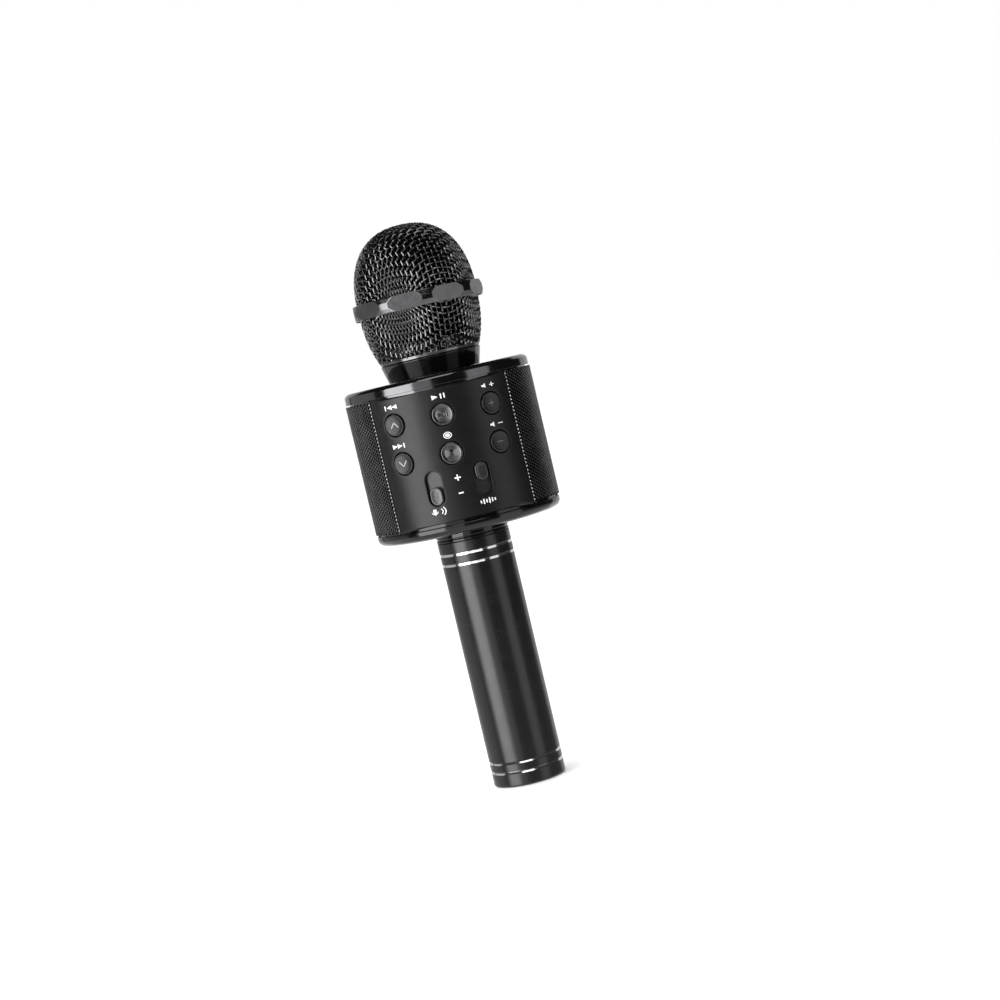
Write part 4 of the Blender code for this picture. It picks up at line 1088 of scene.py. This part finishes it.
def build_sliders():
    """Oval knobs, slightly dished, each on the shutter that closes its slot."""
    plate_top = PANEL_RADIUS - 2.4 * MM
    plate_low, stem_end = plate_top - 0.7 * MM, 34.5 * MM
    plate = (0.0, 0.0, 3.8 * MM, 10.9 * MM, 0.6 * MM)
    knob = (0.0, 0.0, KNOB_WIDTH / 2.0, KNOB_LENGTH / 2.0, KNOB_WIDTH / 2.0)
    stem = (0.0, 0.0, 0.8 * MM, 0.8 * MM, 0.2 * MM)
    levels = edge_levels(plate_top, PANEL_RADIUS + 0.2 * MM, 0.45 * MM)
    levels += [(1.2 * MM, PANEL_RADIUS + 0.08 * MM), (2.0 * MM, PANEL_RADIUS + 0.05 * MM)]
    for name, azimuth in SLIDERS.items():
        node = f"slider_{name}"
        place = face_out(azimuth, middle_z(node))
        extruded(f"shutter_{name}", plate, 4, [(0.0, plate_low), (0.0, plate_top)], ["shutter"],
                 node, [node], place)
        extruded(f"knob_{name}", knob, 10, levels, ["knob"], node,
                 place=place)
        extruded(f"stem_{name}", stem, 3, [(0.0, stem_end), (0.0, plate_low)], ["knob"], node,
                 place=place)


# Handle

def groove(z, depth=GROOVE_DEPTH):
    """A cut ring, listed downwards: a short dark ledge, then a long bright slope that faces up."""
    floor = HANDLE_RADIUS - depth
    return [(HANDLE_RADIUS, z + GROOVE_WIDTH / 2.0), (floor, z + LEDGE_FOOT, 0.02 * MM),
            (HANDLE_RADIUS, z - GROOVE_WIDTH / 2.0)]


def build_handle():
    inner = HANDLE_RADIUS - 1.4 * MM
    floor = HANDLE_RADIUS - GROOVE_DEPTH
    half = GROOVE_WIDTH / 2.0
    top = high("handle_tube").z
    outline = [(HANDLE_RADIUS, top, 0.25 * MM)]
    for z in UPPER_GROOVES:
        outline += groove(z, UPPER_DEPTH)
    seam = CAP_SEAM + LEDGE_FOOT
    outline += [(HANDLE_RADIUS, CAP_SEAM + half), (floor, seam + 0.1 * MM), (floor, seam),
                (inner, seam, 0.1 * MM), (inner, top, 0.1 * MM)]
    bright = [(z - half, z + LEDGE_FOOT) for z in UPPER_GROOVES]
    lathe("handle_shell", outline, ["anodised", "cut"], "housing", ["handle_tube"],
          256, bright=bright, steps=8)
    collar_top = DRUM_LOW - 0.3 * MM
    spigot, bore = 14.2 * MM, 10.5 * MM
    collar_low, collar_high = low("handle_collar").z, high("handle_collar").z
    edge = HANDLE_RADIUS + 0.05 * MM
    waist = edge - 0.45 * MM
    lathe("collar_shell", [
        (spigot, collar_high, 0.3 * MM), (spigot, collar_top, 0.1 * MM),
        (edge, collar_top, 0.3 * MM),
        (edge, COLLAR_LOW + 1.7 * MM, 0.2 * MM), (waist, COLLAR_LOW + 1.5 * MM, 0.1 * MM),
        (waist, COLLAR_LOW + 1.2 * MM, 0.1 * MM), (edge, COLLAR_LOW + 0.8 * MM, 0.2 * MM),
        (edge, COLLAR_LOW + 0.1 * MM, 0.1 * MM), (edge - 0.1 * MM, COLLAR_LOW, 0.05 * MM),
        (spigot, COLLAR_LOW, 0.1 * MM), (spigot, collar_low, 0.4 * MM),
        (bore, collar_low, 0.3 * MM), (bore, collar_high, 0.3 * MM)],
        ["gloss"], "housing", ["handle_collar"], 192)
    build_tail_cap(inner, floor, half)


def build_tail_cap(tube_inner, floor, half):
    corner = 2.0 * MM
    seat = high("tail_cap").z
    seam = CAP_SEAM + LEDGE_FOOT - 0.08 * MM
    spigot, inner, inside = tube_inner - 0.35 * MM, 12.6 * MM, 2.4 * MM
    outline = [(0.0, inside), (inner, inside, 0.4 * MM), (inner, seat, 0.2 * MM)]
    threads, root = 3, spigot - 0.35 * MM
    outline.append((spigot - 0.3 * MM, seat, 0.1 * MM))
    for k in range(threads):
        z = seat - 0.6 * MM - k * 1.5 * MM
        outline += [(spigot, z, 0.1 * MM), (spigot, z - 0.4 * MM, 0.1 * MM),
                    (root, z - 0.8 * MM, 0.1 * MM), (root, z - 1.1 * MM, 0.1 * MM)]
    outline += [(spigot, seam, 0.05 * MM), (floor, seam), (HANDLE_RADIUS, CAP_SEAM - half)]
    outline += groove(LOWER_GROOVE)
    outline += [(HANDLE_RADIUS, corner, 0.0), (HANDLE_RADIUS, 0.0, corner * 1.2)]
    outline += [(12.2 * MM, 0.0, 0.2 * MM), (11.9 * MM, 0.25 * MM, 0.1 * MM), (0.0, 0.25 * MM)]
    bright = [(LOWER_GROOVE - half, LOWER_GROOVE + LEDGE_FOOT),
              (CAP_SEAM - half, seam - 0.02 * MM)]
    lathe("cap_shell", outline, ["anodised", "cut"], "tail_cap", ["tail_cap"], 256,
          bright=bright, steps=8)


# Rear

def build_power_switch():
    """A ribbed knob on its shutter."""
    node, body = "power_switch_knob", "power_switch"
    place = face_out(math.pi, middle_z(node))
    top = high(node).y
    inner = PANEL_RADIUS - 2.3 * MM
    plate_low, stem_end = inner - 0.8 * MM, 29.6 * MM
    plate = (0.0, 0.0, 3.2 * MM, 6.6 * MM, 0.5 * MM)
    knob = (0.0, 0.0, 1.8 * MM, 2.5 * MM, 0.5 * MM)
    stem = (0.0, 0.0, 1.2 * MM, 1.2 * MM, 0.2 * MM)
    extruded("power_shutter", plate, 4, [(0.0, plate_low), (0.0, inner)], ["shutter"], body, [node],
             place)
    extruded("power_knob", knob, 4, edge_levels(inner, top - 0.25 * MM, 0.3 * MM), ["knob"], body,
             place=place)
    extruded("power_stem", stem, 3, [(0.0, stem_end), (0.0, plate_low)], ["knob"], body,
             place=place)
    rib_levels = [(0.0, top - 0.4 * MM), (0.0, top - 0.06 * MM), (0.08 * MM, top)]
    for k in range(-2, 3):
        rib = (0.0, k * 0.8 * MM, 1.4 * MM, 0.2 * MM, 0.15 * MM)
        extruded(f"power_rib_{k + 3}", rib, 3, rib_levels, ["knob"], body,
                 place=place)


def build_jack():
    node = "headphone_jack"
    face, back, shoulder = high(node).y, low(node).y, 34.0 * MM
    lathe("jack_shell", [
        (3.0 * MM, face, 0.2 * MM), (3.0 * MM, shoulder, 0.2 * MM), (4.4 * MM, shoulder, 0.2 * MM),
        (4.4 * MM, back, 0.2 * MM), (1.8 * MM, back, 0.1 * MM),
        (1.8 * MM, face - 0.5 * MM, 0.2 * MM), (2.2 * MM, face, 0.15 * MM)],
        ["nickel"], "housing", [node], 64,
        face_out(math.pi, middle_z(node), middle_x(node)))


def build_led():
    node = "status_led"
    face, back, lens_edge = high(node).y, low(node).y, 40.3 * MM
    lathe("led_lens", [
        (0.0, face), (0.8 * MM, face - 0.15 * MM, 0.3 * MM), (1.1 * MM, lens_edge, 0.2 * MM),
        (1.1 * MM, back, 0.1 * MM), (0.0, back)], ["lens"], "housing", [node], 40,
        face_out(math.pi, middle_z(node)))


def build_rear_marks():
    """White pictograms for power, headphones and charging."""
    jack, usb = "headphone_jack", "usb_port"
    power = arc_strokes(0.0, 0.0, 1.0, 120, 420, 0.3, 16) + stroke([(0.0, 0.4), (0.0, 1.5)], 0.3)
    headphone = (arc_strokes(0.0, -0.3, 1.2, 0, 180, 0.28, 10)
                 + stroke([(-1.2, -0.3), (-1.2, -1.0)], 0.6)
                 + stroke([(1.2, -0.3), (1.2, -1.0)], 0.6))
    charge = [[(0.3, 1.5), (-0.9, -0.2), (-0.1, -0.2), (-0.3, -1.5), (0.9, 0.2), (0.1, 0.2)]]
    marks = {
        "mark_power": (power, 0.0, middle_z("power_switch_body") + 8.0 * MM),
        "mark_headphone": (headphone, -middle_x(jack), middle_z(jack) - 6.2 * MM),
        "mark_charge": (charge, -middle_x(usb), middle_z(usb) - 6.2 * MM),
    }
    for name, (shapes, x, z) in marks.items():
        raised(name, shapes, panel_wrap(math.pi + x / PANEL_RADIUS, z), "print", "housing")


# Inner pieces keep their CAD shape

def dress_inner_pieces():
    sides = ("left", "right")
    dressed = {
        "plastic": ["drum_chassis", "neck_nut", "handle_nut"]
        + [f"switch_{name}" for name in BUTTONS],
        "sleeve": ["battery_sleeve"],
        "rubber": ["capsule_mount", "capsule_lead"],
        "nickel": ["mic_capsule", "usb_port", "card_socket", "tail_spring", "pot_mic_volume",
                   "pot_remix", "power_switch_body"],
        "black_steel": [f"speaker_frame_{side}" for side in sides],
        "magnet": [f"speaker_magnet_{side}" for side in sides],
        "paper": [f"speaker_cone_{side}" for side in sides],
        "board": ["control_board", "rear_board"],
        "wrap": ["battery"],
        "brass": ["contact_plate"],
    }
    for key, nodes in dressed.items():
        for node in nodes:
            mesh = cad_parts[node].data
            mesh.materials.clear()
            mesh.materials.append(LOOKS[key])
            finish_mesh(mesh)


# Stage, light and camera

def aim(obj, place, target, up=None):
    obj.location = place
    direction = (Vector(target) - Vector(place)).normalized()
    if up is None:
        obj.rotation_euler = direction.to_track_quat("-Z", "Y").to_euler()
        return
    back = -direction
    right = Vector(up).cross(back).normalized()
    true_up = back.cross(right)
    obj.rotation_euler = Matrix((right, true_up, back)).transposed().to_euler()


# Azimuth and elevation in degrees; distance, width and height in metres; power in watts
SOFT_BOXES = {
    "left_box": (-47.5, 4.0, 0.9, 0.60, 0.9, 7.4),
    "front_left": (-17.0, 4.0, 0.9, 0.36, 0.9, 0.75),
    "right_box": (53.0, 4.0, 0.9, 0.48, 0.9, 1.1),
    "side_left": (-108.0, 0.0, 1.0, 1.0, 1.2, 1.6),
    "back_left": (-156.0, 2.0, 1.1, 0.7, 1.3, 1.6),
    "back_right": (153.0, 2.0, 1.1, 0.9, 1.3, 2.3),
    "front_low": (0.0, 19.0, 0.9, 0.62, 0.13, 0.42),
    "top_box": (0.0, 55.0, 1.0, 0.60, 0.44, 1.6),
}


def soft_box(name, azimuth, elevation, distance, width, height, energy):
    target = (0.0, 0.0, 0.15)
    light = bpy.data.lights.new(name, "AREA")
    light.shape = "RECTANGLE"
    light.size, light.size_y = width, height
    light.energy = energy
    obj = link_new(name, light)
    a, e = math.radians(azimuth), math.radians(elevation)
    way = Vector((math.sin(a) * math.cos(e), -math.cos(a) * math.cos(e), math.sin(e)))
    aim(obj, Vector(target) + distance * way, target)
    obj.visible_camera = False


def build_floor():
    bm = bmesh.new()
    bmesh.ops.create_grid(bm, x_segments=40, y_segments=40, size=12.0)
    mesh = mesh_of(bm, "floor")
    mesh.materials.append(LOOKS["floor"])
    floor = link_new("floor", mesh)
    floor.visible_glossy = False


def build_stage():
    """White paper below, soft boxes round the microphone; only the boxes show in its polish."""
    build_floor()
    build_world()
    sun = bpy.data.lights.new("ceiling", "SUN")
    sun.energy = 4.5
    sun.angle = math.radians(110.0)
    ceiling = link_new("ceiling", sun)
    ceiling.rotation_euler = (math.radians(-8.0), math.radians(-14.0), 0.0)
    ceiling.visible_glossy = False
    for name, values in SOFT_BOXES.items():
        soft_box(name, *values)


def build_world():
    """Seen directly the room is white paper; as light it is dark, with a glow from below."""
    world = bpy.data.worlds.new("studio")
    bpy.context.scene.world = world
    world.use_nodes = True
    tree = world.node_tree
    room = tree.nodes["Background"]
    room.inputs["Color"].default_value = (1.0, 1.0, 1.0, 1.0)
    direction = add_node(tree, "ShaderNodeTexCoord")
    parts = add_node(tree, "ShaderNodeSeparateXYZ")
    glow = add_node(tree, "ShaderNodeMapRange")
    glow.inputs["From Min"].default_value = -0.08
    glow.inputs["From Max"].default_value = -0.50
    glow.inputs["To Min"].default_value = 0.03
    glow.inputs["To Max"].default_value = 0.95
    tree.links.new(direction.outputs["Generated"], parts.inputs["Vector"])
    tree.links.new(parts.outputs["Z"], glow.inputs["Value"])
    tree.links.new(glow.outputs["Result"], room.inputs["Strength"])
    paper = add_node(tree, "ShaderNodeBackground")
    paper.inputs["Color"].default_value = (1.0, 1.0, 1.0, 1.0)
    path = add_node(tree, "ShaderNodeLightPath")
    mix = add_node(tree, "ShaderNodeMixShader")
    tree.links.new(path.outputs["Is Camera Ray"], mix.inputs["Fac"])
    tree.links.new(room.outputs["Background"], mix.inputs[1])
    tree.links.new(paper.outputs["Background"], mix.inputs[2])
    tree.links.new(mix.outputs["Shader"], tree.nodes["World Output"].inputs["Surface"])


def build_camera():
    """A camera a little above the drum, leaned to one side and aimed at the microphone's middle."""
    distance, height, side, middle = 0.93, 0.176, 0.015, 0.1217
    data = bpy.data.cameras.new("camera")
    data.lens = 77.1
    data.sensor_width = 36.0
    lean = math.radians(13.25)
    camera = link_new("camera", data)
    up = (math.sin(lean), 0.0, math.cos(lean))
    aim(camera, (side, -distance, height), (side, 0.0, middle), up)
    bpy.context.scene.camera = camera
    bpy.context.scene.view_settings.view_transform = "Standard"


build_camera()
build_stage()
build_head()
build_neck()
build_trims()
build_screws()
build_panels()
build_speaker_grilles()
build_marks()
build_buttons()
build_sliders()
build_handle()
build_power_switch()
build_jack()
build_led()
build_rear_marks()
dress_inner_pieces()
